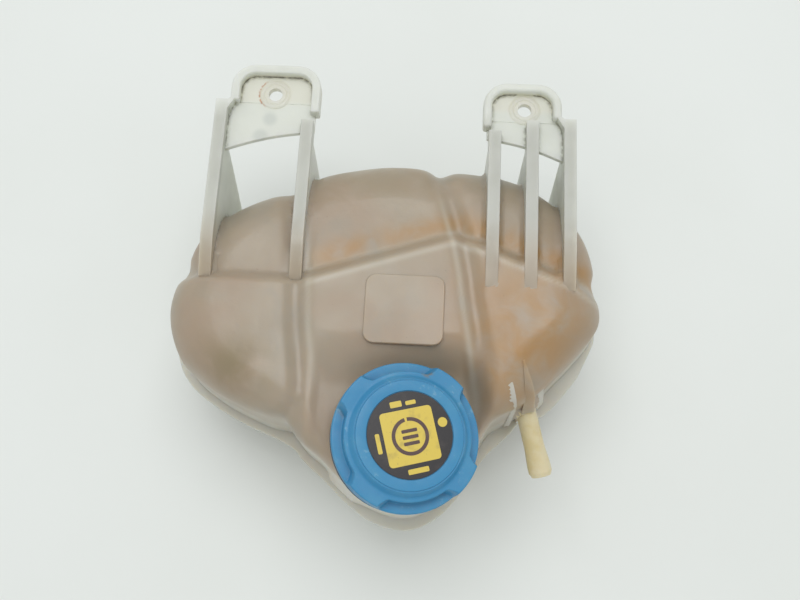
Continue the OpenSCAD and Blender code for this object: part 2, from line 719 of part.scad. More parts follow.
// Valve cartridge, in the same frame
housing_r = neck_bore_r - housing_gap;
chamber_r = housing_r - housing_wall;
ledge_r = chamber_r - 1;
ledge_z = -lip_l;
ring_r = neck_bore_r - ring_fit - ring_section;
floor_z = -housing_l + floor_t;
seal_z = floor_z + seat_h + rest_gap;
valve_z = seal_z + seal_t;
spring_z = valve_z + valve_t;
retainer_t = valve_t;
spring_top = ledge_z - retainer_t;
window_r = vacuum_r - 1.5;
vacuum_seal_t = 0.8;
vacuum_top = valve_z - rest_gap - vacuum_seal_t;
guide_hub_r = vacuum_spring_r + vacuum_wire + pass_gap;
vacuum_spring_top = spring_z + vacuum_spring_l;

module cartridge_housing() {
    groove_r = ring_r - ring_section - snap_gap;
    groove_h = ring_section + pass_gap;
    seat_r = port_r + seat_w;
    color("dimgray") in_cap_frame() difference() {
        rotate_extrude() polygon([
            [hub_r + pass_gap, rest_gap], [ledge_r, rest_gap], [ledge_r, ledge_z], [chamber_r, ledge_z],
            [chamber_r, floor_z], [seat_r, floor_z], [seat_r, floor_z + seat_h], [port_r, floor_z + seat_h],
            [port_r, -housing_l], [housing_r, -housing_l], [housing_r, -ring_drop - groove_h],
            [groove_r, -ring_drop - groove_h], [groove_r, -ring_drop + groove_h],
            [housing_r, -ring_drop + groove_h], [housing_r, rest_gap], [lip_r, rest_gap],
            [lip_r, rest_gap + head_t], [hub_r + pass_gap, rest_gap + head_t],
        ]);
        for (k = [0:reliefs - 1]) rotate([0, 90, (k + 0.5) * 360 / reliefs])
            translate([relief_drop, 0, chamber_r - past]) cylinder(r = relief_r, h = housing_wall + 2 * past);
    }
}

module cartridge_o_ring() {
    color("black") in_cap_frame() translate([0, 0, -ring_drop])
        rotate_extrude() translate([ring_r, 0]) circle(r = ring_section);
}

module spring_retainer() {
    in_r = spring_r + spring_wire + pass_gap;
    color("dimgray") in_cap_frame() difference() {
        union() {
            ring(chamber_r - snap_gap, guide_hub_r + 1, spring_top, ledge_z);
            ring(in_r + 1.2, in_r, spring_top - 1.5, spring_top);
        }
        for (k = [0:reliefs - 1]) rotate([0, 0, k * 360 / reliefs])
            translate([(in_r + 1.2 + chamber_r) / 2, 0, spring_top - past])
                cylinder(r = relief_r, h = retainer_t + 2 * past);
    }
}

// Round wire coil of radius r between two heights
module coil(r, wire, turns, z0, z1) {
    n = turns * COIL_STEPS;
    rise = (z1 - z0 - 2 * wire) / n;
    points = [for (i = [0:n], k = [0:WIRE_SIDES - 1])
        let(d = i * 360 / COIL_STEPS, e = k * 360 / WIRE_SIDES, q = r + wire * cos(e))
        [q * cos(d), q * sin(d), z0 + wire + rise * i + wire * sin(e)]];
    faces = concat(
        [[for (k = [0:WIRE_SIDES - 1]) WIRE_SIDES - 1 - k]],
        [for (i = [0:n - 1], k = [0:WIRE_SIDES - 1])
            let(j = (k + 1) % WIRE_SIDES, a = i * WIRE_SIDES, b = a + WIRE_SIDES)
            each [[a + j, b + k, a + k], [b + j, b + k, a + j]]],
        [[for (k = [0:WIRE_SIDES - 1]) n * WIRE_SIDES + k]]
    );
    polyhedron(points, faces, convexity = 10);
}

module pressure_spring() {
    color("silver") in_cap_frame() coil(spring_r, spring_wire, spring_turns, spring_z, spring_top);
}

module pressure_valve() {
    guide = chamber_r - pass_gap;
    locate_r = spring_r - spring_wire - pass_gap;
    color("gold") in_cap_frame() {
        ring(port_r + seat_w + 1, window_r, valve_z, spring_z);
        ring(locate_r, locate_r - 1.2, spring_z - rest_gap, spring_z + 1.5);
        ring(guide_hub_r, stem_r + stem_fit, valve_z, spring_z);
        for (k = [0:SPOKES - 1]) rotate([0, 0, k * 360 / SPOKES]) {
            translate([guide_hub_r - 0.4, -SPOKE_W / 2, valve_z])
                cube([window_r - guide_hub_r + 0.8, SPOKE_W, valve_t]);
            translate([port_r, -SPOKE_W, valve_z])
                cube([guide - port_r - SPOKE_W * SPOKE_W / guide / 2, 2 * SPOKE_W, valve_t]);
        }
    }
}

module pressure_seal() {
    color("black") in_cap_frame() ring(port_r + seat_w + 1, vacuum_r + 2 * pass_gap, seal_z, valve_z);
}

module vacuum_valve() {
    color("gold") in_cap_frame() {
        translate([0, 0, vacuum_top - vacuum_t]) cylinder(r = vacuum_r, h = vacuum_t);
        translate([0, 0, vacuum_top - vacuum_t / 2])
            cylinder(r = stem_r, h = vacuum_spring_top + clip_t * 2 - vacuum_top + vacuum_t / 2);
    }
}

module vacuum_seal() {
    color("black") in_cap_frame() ring(vacuum_r, window_r - 0.5, vacuum_top, vacuum_top + vacuum_seal_t);
}

module vacuum_spring() {
    color("silver") in_cap_frame()
        coil(vacuum_spring_r, vacuum_wire, vacuum_turns, spring_z, vacuum_spring_top);
}

module vacuum_clip() {
    color("silver") in_cap_frame()
        ring(vacuum_spring_r + vacuum_wire + pass_gap, stem_r, vacuum_spring_top, vacuum_spring_top + clip_t);
}

upper_shell();
lower_shell();
cap_knob();
cap_label();
cap_clip();
cartridge_housing();
cartridge_o_ring();
spring_retainer();
pressure_spring();
pressure_valve();
pressure_seal();
vacuum_valve();
vacuum_seal();
vacuum_spring();
vacuum_clip();
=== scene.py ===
"""Looks of a coolant expansion tank and its pressure cap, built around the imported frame."""

import logging
import math
from collections.abc import Callable, Iterable, Iterator, Sequence
from contextlib import contextmanager
from dataclasses import dataclass, field
from enum import Enum

import bpy
from mathutils import Matrix, Vector


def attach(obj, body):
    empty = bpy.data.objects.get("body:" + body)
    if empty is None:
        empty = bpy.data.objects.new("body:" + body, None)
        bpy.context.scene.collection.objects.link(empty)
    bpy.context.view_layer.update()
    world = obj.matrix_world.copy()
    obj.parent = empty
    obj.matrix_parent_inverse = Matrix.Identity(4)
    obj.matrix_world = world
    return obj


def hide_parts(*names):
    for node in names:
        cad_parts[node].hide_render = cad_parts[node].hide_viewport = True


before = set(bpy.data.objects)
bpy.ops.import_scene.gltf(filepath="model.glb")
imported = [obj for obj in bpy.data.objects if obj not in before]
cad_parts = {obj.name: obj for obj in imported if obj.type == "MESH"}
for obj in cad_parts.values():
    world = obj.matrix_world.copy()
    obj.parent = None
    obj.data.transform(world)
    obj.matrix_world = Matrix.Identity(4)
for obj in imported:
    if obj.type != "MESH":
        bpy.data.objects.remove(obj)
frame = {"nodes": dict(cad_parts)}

log = logging.getLogger("tank")

MM = 0.001
MERGE_M = 1e-6
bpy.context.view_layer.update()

Point2 = tuple[float, float]
Table = tuple[tuple[float, float], ...]


class Join(Enum):
    """How one solid changes another."""

    ADD = "UNION"
    CUT = "DIFFERENCE"


# ---- Numbers


def clamp(value: float, low: float = 0.0, high: float = 1.0) -> float:
    """Return the value held between two limits."""
    return min(high, max(low, value))


def smooth(low: float, high: float, value: float) -> float:
    """Return a soft step from 0 at low to 1 at high."""
    share = clamp((value - low) / (high - low))
    return share * share * (3 - 2 * share)


def mix(start: float, end: float, share: float) -> float:
    """Return the value a share of the way from start to end."""
    return start + (end - start) * share


def lookup(value: float, table: Table) -> float:
    """Read a table of places and values with straight lines between its rows.

    Args:
        value: The place to read at.
        table: Rows of place and value, with the places rising.

    Returns:
        The value there, or the nearest end's value outside the table.
    """
    if value <= table[0][0]:
        return table[0][1]
    for (low, first), (high, second) in zip(table, table[1:]):
        if value <= high:
            return mix(first, second, (value - low) / (high - low))
    return table[-1][1]


def fillet(distance: float, radius: float) -> float:
    """Return how far a fillet of that radius lifts a surface at a distance from a wall."""
    if distance >= radius:
        return 0.0
    reach = radius - max(distance, 0.0)
    return radius - math.sqrt(max(radius * radius - reach * reach, 0.0))


def bump(distance: float, width: float) -> float:
    """Return a soft bell of that width around distance 0."""
    return math.exp(-((distance / width) ** 2))


def arc(x: float, y: float, radius: float, start: float, end: float, steps: int = 8) -> list[Point2]:
    """Return points on an arc.

    Args:
        x: Centre across.
        y: Centre along.
        radius: Radius of the arc.
        start: First direction in degrees.
        end: Last direction in degrees.
        steps: Number of chords.

    Returns:
        The points, both ends included.
    """
    turns = [math.radians(mix(start, end, k / steps)) for k in range(steps + 1)]
    return [(x + radius * math.cos(t), y + radius * math.sin(t)) for t in turns]


def rounded(path: Sequence[tuple[float, float, float]], steps: int = 4) -> list[Point2]:
    """Round the corners of a path.

    Args:
        path: Corners as x, y and the radius of the corner, 0 for a sharp one.
        steps: Chords in each rounded corner.

    Returns:
        The points of the rounded path.
    """
    points: list[Point2] = []
    for index, (x, y, radius) in enumerate(path):
        if radius == 0 or index in (0, len(path) - 1):
            points.append((x, y))
            continue
        here = Vector((x, y))
        before = (Vector(path[index - 1][:2]) - here).normalized()
        after = (Vector(path[index + 1][:2]) - here).normalized()
        half = before.angle(after) / 2
        reach = radius / math.tan(half)
        centre = here + (before + after).normalized() * radius / math.sin(half)
        first, last = here + before * reach - centre, here + after * reach - centre
        for k in range(steps + 1):
            points.append(tuple(centre + first.slerp(last, k / steps) * radius))
    return points


def rounded_box(width: float, length: float, radius: float, x: float = 0.0, y: float = 0.0) -> list[Point2]:
    """Return the outline of a rectangle with round corners about a centre."""
    a, b = width / 2 - radius, length / 2 - radius
    corners = ((a, b, 0), (-a, b, 90), (-a, -b, 180), (a, -b, 270))
    return [p for cx, cy, turn in corners for p in arc(x + cx, y + cy, radius, turn, turn + 90, 5)]


# ---- Modelling


def alone(obj: bpy.types.Object | None = None) -> None:
    """Deselect everything, then select and activate one object."""
    if bpy.context.mode != "OBJECT":
        bpy.ops.object.mode_set(mode="OBJECT")
    bpy.ops.object.select_all(action="DESELECT")
    if obj is not None:
        obj.select_set(True)
        bpy.context.view_layer.objects.active = obj


def modify(obj: bpy.types.Object, kind: str, **settings: object) -> None:
    """Add a modifier with its settings and apply it."""
    alone(obj)
    modifier = obj.modifiers.new(kind.title(), kind)
    for name, value in settings.items():
        setattr(modifier, name, value)
    bpy.ops.object.modifier_apply(modifier=modifier.name)


@contextmanager
def whole_mesh() -> Iterator[None]:
    """Work in edit mode on the active piece with all of it selected."""
    bpy.ops.object.mode_set(mode="EDIT")
    bpy.ops.mesh.select_all(action="SELECT")
    yield
    bpy.ops.object.mode_set(mode="OBJECT")


def tidy_normals(obj: bpy.types.Object) -> None:
    """Merge doubles and point every face outwards."""
    alone(obj)
    with whole_mesh():
        bpy.ops.mesh.remove_doubles(threshold=MERGE_M)
        bpy.ops.mesh.normals_make_consistent(inside=False)


def named(obj: bpy.types.Object, name: str) -> bpy.types.Object:
    """Name an object and its mesh."""
    obj.name = obj.data.name = name
    return obj


def start_loop(name: str, points: Sequence[tuple[float, float, float]], fill: str) -> bpy.types.Object:
    """Start a piece from a ring of vertices that are moved to their places.

    Args:
        name: Name of the piece.
        points: Places of the vertices in millimetres.
        fill: Blender's fill type of the ring.

    Returns:
        The new object.
    """
    alone()
    bpy.ops.mesh.primitive_circle_add(vertices=len(points), radius=MM, fill_type=fill)
    obj = named(bpy.context.object, name)
    for vertex, point in zip(obj.data.vertices, points):
        vertex.co = Vector(point) * MM
    return obj


def prism(
    name: str,
    outline: Sequence[Point2],
    low: float,
    high: float,
    place: Matrix | None = None,
    bevel: float = 0.0,
    segments: int = 2,
) -> bpy.types.Object:
    """Extrude a flat outline into a closed solid.

    Args:
        name: Name of the piece.
        outline: Corners in millimetres, in the plane of the placement.
        low: Height of the first face in millimetres.
        high: Height of the second face in millimetres.
        place: Placement in metres, or none for the row frame.
        bevel: Width of the bevel on sharp edges in millimetres.
        segments: Faces across each bevel.

    Returns:
        The new object.
    """
    obj = start_loop(name, [(x, y, low) for x, y in outline], "NGON")
    with whole_mesh():
        bpy.ops.mesh.extrude_region_move(TRANSFORM_OT_translate={"value": (0, 0, (high - low) * MM)})
    tidy_normals(obj)
    if bevel:
        modify(
            obj, "BEVEL", width=bevel * MM, segments=segments,
            limit_method="ANGLE", angle_limit=math.radians(50), use_clamp_overlap=True,
        )
    if place is not None:
        obj.data.transform(place)
    return obj


def revolve(name: str, path: Sequence[Point2], steps: int, place: Matrix | None = None) -> bpy.types.Object:
    """Spin a path of radius and height about the placement's Z axis.

    Args:
        name: Name of the piece.
        path: Points in millimetres. The first and the last lie on the axis.
        steps: Faces round the axis.
        place: Placement in metres, or none for the row frame.

    Returns:
        The new object.
    """
    obj = start_loop(name, [(r, 0.0, h) for r, h in path], "NOTHING")
    ends = {0, len(path) - 1}
    for edge in obj.data.edges:
        edge.select = set(edge.vertices) == ends
    for vertex in obj.data.vertices:
        vertex.select = vertex.index in ends
    bpy.ops.object.mode_set(mode="EDIT")
    bpy.ops.mesh.select_mode(type="EDGE")
    bpy.ops.mesh.delete(type="EDGE")
    bpy.ops.mesh.select_mode(type="VERT")
    bpy.ops.object.mode_set(mode="OBJECT")
    with whole_mesh():
        bpy.ops.mesh.spin(steps=steps, angle=math.tau, center=(0, 0, 0), axis=(0, 0, 1))
    tidy_normals(obj)
    if place is not None:
        obj.data.transform(place)
    return obj


def helix(
    name: str, section: Sequence[Point2], pitch: float, turns: float, start: float, steps: int, place: Matrix
) -> bpy.types.Object:
    """Wind a closed section about the placement's Z axis and close both ends.

    Args:
        name: Name of the piece.
        section: Radius and height of its corners in millimetres, at the start.
        pitch: Rise of one turn in millimetres.
        turns: Number of turns.
        start: Direction of the start in degrees.
        steps: Faces of one turn.
        place: Placement in metres.

    Returns:
        The new object.
    """
    obj = start_loop(name, [(r, 0.0, h) for r, h in section], "NOTHING")
    count = round(steps * turns)
    modify(
        obj, "SCREW", angle=math.tau * turns, screw_offset=pitch * turns * MM,
        steps=count, render_steps=count, use_merge_vertices=False, use_smooth_shade=False,
    )
    with whole_mesh():
        bpy.ops.mesh.fill_holes(sides=0)
    tidy_normals(obj)
    obj.data.transform(place @ Matrix.Rotation(math.radians(start), 4, "Z"))
    return obj


def ringed(name: str, top: Vector, rings: Sequence[Sequence[Vector]], bottom: Vector) -> bpy.types.Object:
    """Shape a sphere into a closed form through rings of points.

    Args:
        name: Name of the piece.
        top: Place of the upper pole in millimetres.
        rings: Rings from the upper pole down, each with the same number of points.
        bottom: Place of the lower pole in millimetres.

    Returns:
        The new object.
    """
    alone()
    count, last = len(rings[0]), len(rings) + 1
    bpy.ops.mesh.primitive_uv_sphere_add(segments=count, ring_count=last, radius=1.0)
    obj = named(bpy.context.object, name)
    for vertex in obj.data.vertices:
        x, y, z = vertex.co
        row = round(math.acos(clamp(z, -1.0, 1.0)) / math.pi * last)
        column = round(math.atan2(y, x) / math.tau * count) % count
        place = top if row == 0 else bottom if row == last else rings[row - 1][column]
        vertex.co = place * MM
    obj.data.update()
    return obj


def combine(obj: bpy.types.Object, tools: Iterable[bpy.types.Object], how: Join) -> None:
    """Add solids to a solid or cut them out of it, and remove the tools."""
    for tool in tools:
        modify(obj, "BOOLEAN", operation=how.value, solver="MANIFOLD", object=tool)
        bpy.data.objects.remove(tool)


def joined(name: str, parts: Sequence[bpy.types.Object]) -> bpy.types.Object:
    """Make several meshes one piece."""
    alone(parts[0])
    for part in parts:
        part.select_set(True)
    bpy.ops.object.join()
    return named(parts[0], name)


def dress(obj: bpy.types.Object, materials: Sequence[bpy.types.Material]) -> None:
    """Give a piece its materials, with every face in the first."""
    obj.data.materials.clear()
    for material in materials:
        obj.data.materials.append(material)
    obj.data.polygons.foreach_set("material_index", [0] * len(obj.data.polygons))


def soften(obj: bpy.types.Object, degrees: float) -> None:
    """Shade smooth, with edges kept where faces meet at more than an angle."""
    alone(obj)
    bpy.ops.object.shade_smooth_by_angle(angle=math.radians(degrees))


# ---- Materials

MIX_FACTOR, MIX_A, MIX_B, MIX_OUT = 0, 6, 7, 2


def colour(code: str) -> tuple[float, float, float, float]:
    """Turn an sRGB hex value into a linear colour."""
    parts = [int(code[k : k + 2], 16) / 255 for k in (1, 3, 5)]
    linear = [p / 12.92 if p <= 0.04045 else ((p + 0.055) / 1.055) ** 2.4 for p in parts]
    return (*linear, 1.0)


def add_node(
    tree: bpy.types.NodeTree, kind: str, inputs: dict[int | str, object] | None = None, **settings: object
) -> bpy.types.Node:
    """Add a node with its settings and links.

    Args:
        tree: The node tree.
        kind: Blender's name of the node.
        inputs: Values or output sockets, by input name or number.
        settings: The node's own settings.

    Returns:
        The new node.
    """
    node = tree.nodes.new(kind)
    for name, value in settings.items():
        setattr(node, name, value)
    for key, value in (inputs or {}).items():
        if isinstance(value, bpy.types.NodeSocket):
            tree.links.new(value, node.inputs[key])
        else:
            node.inputs[key].default_value = value
    return node


@dataclass
class Finish:
    """A procedural material that is built up in layers of colour."""

    name: str
    base: str
    tree: bpy.types.NodeTree = field(init=False)
    material: bpy.types.Material = field(init=False)
    place: bpy.types.NodeSocket = field(init=False)
    shade: object = field(init=False)

    def __post_init__(self) -> None:
        """Start the material from its base colour."""
        self.material = bpy.data.materials.new(self.name)
        self.material.use_nodes = True
        self.tree = self.material.node_tree
        self.tree.nodes.clear()
        self.place = add_node(self.tree, "ShaderNodeTexCoord").outputs["Object"]
        self.shade = colour(self.base)

    def noise(self, size_mm: float, low: float = 0.0, high: float = 1.0, **settings: float) -> bpy.types.NodeSocket:
        """Return clouds of a real size, spread between two values.

        Args:
            size_mm: Size of one cloud in millimetres.
            low: Noise value that gives 0.
            high: Noise value that gives 1.
            settings: Detail, roughness or distortion of the noise.

        Returns:
            The clouds' value from 0 to 1.
        """
        inputs = {"Vector": self.place, "Scale": 1 / (size_mm * MM)}
        inputs.update({name.title(): value for name, value in settings.items()})
        clouds = add_node(self.tree, "ShaderNodeTexNoise", inputs)
        return self.spread(clouds.outputs[0], low, high)

    def spread(
        self, value: bpy.types.NodeSocket, low: float, high: float, start: float = 0.0, end: float = 1.0
    ) -> bpy.types.NodeSocket:
        """Return a value spread softly from one range to another."""
        inputs = {"Value": value, "From Min": low, "From Max": high, "To Min": start, "To Max": end}
        return add_node(self.tree, "ShaderNodeMapRange", inputs, interpolation_type="SMOOTHSTEP").outputs[0]

    def times(self, *values: object) -> bpy.types.NodeSocket:
        """Return the product of values."""
        product = values[0]
        for value in values[1:]:
            product = add_node(self.tree, "ShaderNodeMath", {0: product, 1: value}, operation="MULTIPLY").outputs[0]
        return product

    def spot(self, centre_mm: Sequence[float], radius_mm: float, edge_mm: float) -> bpy.types.NodeSocket:
        """Return a mask of a round spot with a soft edge."""
        centre = tuple(c * MM for c in centre_mm)
        reach = add_node(self.tree, "ShaderNodeVectorMath", {0: self.place, 1: centre}, operation="DISTANCE")
        return self.spread(reach.outputs["Value"], (radius_mm + edge_mm) * MM, radius_mm * MM)

    def layer(self, mask: object, code: str, strength: float = 1.0) -> None:
        """Lay a colour over what is there, through a mask."""
        amount = self.times(mask, strength) if strength != 1.0 else mask
        node = add_node(
            self.tree, "ShaderNodeMix", {MIX_FACTOR: amount, MIX_A: self.shade, MIX_B: colour(code)}, data_type="RGBA"
        )
        self.shade = node.outputs[MIX_OUT]

    def crevices(self, reach_mm: float, low: float, high: float) -> bpy.types.NodeSocket:
        """Return an ambient occlusion mask of corners and crevices, for the dirt there and for painted shade there."""
        inside = add_node(self.tree, "ShaderNodeAmbientOcclusion", {"Distance": reach_mm * MM}, samples=8)
        return self.spread(inside.outputs["AO"], high, low)

    def finish(
        self, relief: Sequence[tuple[bpy.types.NodeSocket, float]], wear: object, **sockets: object
    ) -> bpy.types.Material:
        """Close the material with its shader.

        Args:
            relief: Pairs of a height value and its depth in millimetres.
            wear: Roughness value or socket.
            sockets: Uniform values of the shader's own sockets, with _ for a space.

        Returns:
            The finished material.
        """
        normal = None
        for height, depth in relief:
            inputs = {"Height": height, "Distance": depth * MM, "Strength": 1.0}
            if normal is not None:
                inputs["Normal"] = normal
            normal = add_node(self.tree, "ShaderNodeBump", inputs).outputs[0]
        inputs = {"Base Color": self.shade, "Roughness": wear}
        inputs.update({name.replace("_", " "): value for name, value in sockets.items()})
        if normal is not None:
            inputs["Normal"] = normal
        shader = add_node(self.tree, "ShaderNodeBsdfPrincipled", inputs)
        add_node(self.tree, "ShaderNodeOutputMaterial", {"Surface": shader.outputs[0]})
        return self.material


# ---- Form of the tank


@dataclass(frozen=True)
class ClosedCurve:
    """Smooth closed curve through a table of directions in degrees and values."""

    table: Table

    def knot(self, index: int) -> Point2:
        """Return a row of the table, past its ends too."""
        count = len(self.table)
        degrees, value = self.table[index % count]
        return degrees + 360.0 * (index // count), value

    def slope(self, index: int) -> float:
        """Return the curve's slope at a row."""
        before, after = self.knot(index - 1), self.knot(index + 1)
        return (after[1] - before[1]) / (after[0] - before[0])

    def at(self, degrees: float) -> float:
        """Return the value in a direction."""
        start = degrees + 360.0 if degrees < self.table[0][0] else degrees
        index = max(k for k, row in enumerate(self.table) if row[0] <= start)
        here, there = self.knot(index), self.knot(index + 1)
        width = there[0] - here[0]
        s = (start - here[0]) / width
        return (
            (2 * s**3 - 3 * s**2 + 1) * here[1]
            + (s**3 - 2 * s**2 + s) * width * self.slope(index)
            + (3 * s**2 - 2 * s**3) * there[1]
            + (s**3 - s**2) * width * self.slope(index + 1)
        )


@dataclass
class TankForm:
    """Plan and height of the moulded tank, in millimetres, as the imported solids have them."""

    width: float = 209.0
    length: float = 172.0
    seam: float = 50.0
    top: float = 110.0
    wall: float = 2.5
    crown: float = 2.5
    back_step: float = 5.0
    step_ramp: float = 7.0
    valley_d: float = 3.0
    valley_w: float = 5.0
    draft: float = 1.5
    flange_t: float = 2.0
    sump_round: float = 14.0
    sump_lean: float = 4.0
    neck_lean: float = 12.0
    neck_foot: Point2 = (6.442, 97.437)
    nose_fall: Point2 = (-8.0, -36.0)
    plan: ClosedCurve = ClosedCurve((
        (2, 100), (10, 100.5), (14, 100.5), (18, 103.5), (29, 105), (41, 101.8), (52, 97), (63, 90),
        (70, 86), (75.5, 82), (80, 83), (92, 82.8), (105, 83), (118, 85), (129, 85.6), (136, 90.5),
        (146, 98), (158, 105.5), (164, 106.2), (168, 104.6), (173, 107), (180, 108), (188, 105.5),
        (195, 101), (204.4, 90.6), (210.5, 83.8), (217, 77.6), (222, 73.4), (227, 68.6), (230, 69),
        (236, 71), (247.5, 73.5), (257, 79.5), (266, 86), (277, 90), (287, 86.5), (298, 78), (308, 71),
        (316, 67.8), (322, 69.6), (330, 74.2), (337, 78), (345, 83), (353, 90.4),
    ))
    flange: ClosedCurve = ClosedCurve((
        (0, 3), (12, 2.5), (30, 3), (90, 3.5), (165, 3.5), (180, 3.5), (192, 5), (205, 5), (214, 5),
        (222, 5), (227, 7), (233, 4.5), (247, 5.5), (266, 6), (277, 6), (292, 5), (308, 5), (316, 7),
        (322, 6), (329, 3), (333, 7), (338, 8.5), (350, 7.5),
    ))
    edge: ClosedCurve = ClosedCurve((
        (0, 24), (60, 24), (150, 24), (200, 24), (212, 20), (228, 14), (245, 12), (300, 12),
        (318, 14), (335, 20), (350, 24),
    ))
    step_line: Table = ((-110, 15), (-44, 15), (30, 39.5), (92, 17), (110, 12))
    left_valley: Table = ((-57, -39), (-33, -39), (-19, -41), (-8, -43), (17, -45), (66, -52), (90, -55))
    right_valley: Table = ((-52, 47), (-38, 46.5), (-15, 42), (6, 38), (20, 36), (39, 32), (59, 26), (80, 20))
    stretch: Point2 = (1.0051, 0.999543)

    def nose_share(self, u: float, v: float) -> float:
        """Return how far a place belongs to the nose that carries the neck."""
        left, right = lookup(v, self.left_valley), lookup(v, self.right_valley)
        return smooth(*self.nose_fall, v) * smooth(left - 3, left + 9, u) * smooth(right + 3, right - 9, u)

    def height(self, x: float, y: float) -> float:
        """Return the height of the dome's top over a place of the plan."""
        u, v = x / self.stretch[0], y / self.stretch[1]
        block = (
            self.top
            - self.crown * (u * u + v * v) / (self.width * self.length / 4)
            - self.back_step * smooth(-self.step_ramp / 2, self.step_ramp / 2, v - lookup(u, self.step_line))
            - self.valley_d * bump(u - lookup(v, self.left_valley), self.valley_w)
            - self.valley_d * bump(u - lookup(v, self.right_valley), self.valley_w)
        )
        nose = self.neck_foot[1] - math.tan(math.radians(self.neck_lean)) * (x - self.neck_foot[0])
        return mix(block, min(block, nose), self.nose_share(u, v))

    def on_plan(self, radius: float, degrees: float) -> Point2:
        """Return a place of the plan from its distance and direction."""
        turn = math.radians(degrees)
        return radius * math.cos(turn) * self.stretch[0], radius * math.sin(turn) * self.stretch[1]

    def top_ring(self, share: float, inset: float, count: int) -> list[Vector]:
        """Return a ring on the top, a share of the way from the middle to the rounded edge."""
        ring = []
        for k in range(count):
            degrees = k * 360 / count
            x, y = self.on_plan((self.plan.at(degrees) - self.edge.at(degrees)) * share, degrees)
            ring.append(Vector((x, y, self.height(x, y) - inset)))
        return ring

    def edge_ring(self, turn: float, inset: float, count: int) -> list[Vector]:
        """Return a ring on the rounded edge, turn degrees down from the top."""
        sine, cosine = math.sin(math.radians(turn)), math.cos(math.radians(turn))
        ring = []
        for k in range(count):
            degrees = k * 360 / count
            edge = self.edge.at(degrees)
            x, y = self.on_plan(self.plan.at(degrees) - edge + (edge - inset) * sine, degrees)
            ring.append(Vector((x, y, self.height(x, y) - edge + (edge - inset) * cosine)))
        return ring

    def level_ring(self, outward: float, flange: float, z: float, count: int) -> list[Vector]:
        """Return a level ring outside the plan, with a share of the flange's width added."""
        ring = []
        for k in range(count):
            degrees = k * 360 / count
            radius = self.plan.at(degrees) + outward + flange * self.flange.at(degrees)
            ring.append(Vector((*self.on_plan(radius, degrees), z)))
        return ring

    def wall_rings(self, first: Sequence[Vector], last: Sequence[Vector], rows: int) -> list[list[Vector]]:
        """Return the rings between two rings, both left out."""
        return [[a.lerp(b, k / rows) for a, b in zip(first, last)] for k in range(1, rows)]

    def lean(self, z: float) -> float:
        """Return how far the lower half's wall lies outside the plan at a height."""
        return self.draft - self.sump_lean * (self.seam - z) / self.seam

    def foot_rings(self, inset: float, step: int, count: int) -> list[list[Vector]]:
        """Return the rings of the lower half's rounded foot, an inset inside its skin."""
        radius = self.sump_round - inset
        rings = []
        for turn in range(0, 91, step):
            sine, cosine = math.sin(math.radians(turn)), math.cos(math.radians(turn))
            out = self.lean(self.sump_round) - inset - radius * (1 - cosine)
            rings.append(self.level_ring(out, 0.0, inset + radius * (1 - sine), count))
        return rings


@dataclass(frozen=True)
class Rib:
    """One rib of a mounting ear: a flat arm under the plate and a gusset down to the flange."""

    x: float
    back: float
    foot: float
    start: float
    front: float = 14.0
    width: float = 6.0
    depth: float = 8.0
    top: float = 110.0
    low: float = 51.0
    gusset: float = 86.0
    ramp_l: float = 20.0

    def top_at(self, y: float) -> float:
        """Return the height of the rib's top edge, which grows out of the dome at its front end."""
        return mix(self.start, self.top, clamp((y - self.front) / self.ramp_l) ** 0.75)

    def build(self, name: str) -> bpy.types.Object:
        """Return the rib as a solid with softened edges."""
        arm = self.top - self.depth
        steps = 8
        ramp = [self.front + self.ramp_l * (k / steps) ** 2 for k in range(steps, -1, -1)]
        outline = [
            (self.front, self.low), (self.foot, self.low), (self.gusset, arm), (self.back, arm),
            (self.back, self.top), *((y, self.top_at(y)) for y in ramp),
        ]
        place = Matrix(((0, 0, 1, self.x * MM), (1, 0, 0, 0), (0, 1, 0, 0), (0, 0, 0, 1)))
        return prism(name, outline, -self.width / 2, self.width / 2, place, bevel=0.7)

    def reach(self, x: float, y: float) -> float:
        """Return the distance in plan from a place to the rib's side."""
        across = abs(x - self.x) - self.width / 2
        along = max(self.front - y, y - self.back)
        if across > 0 and along > 0:
            return math.hypot(across, along)
        return max(across, along)


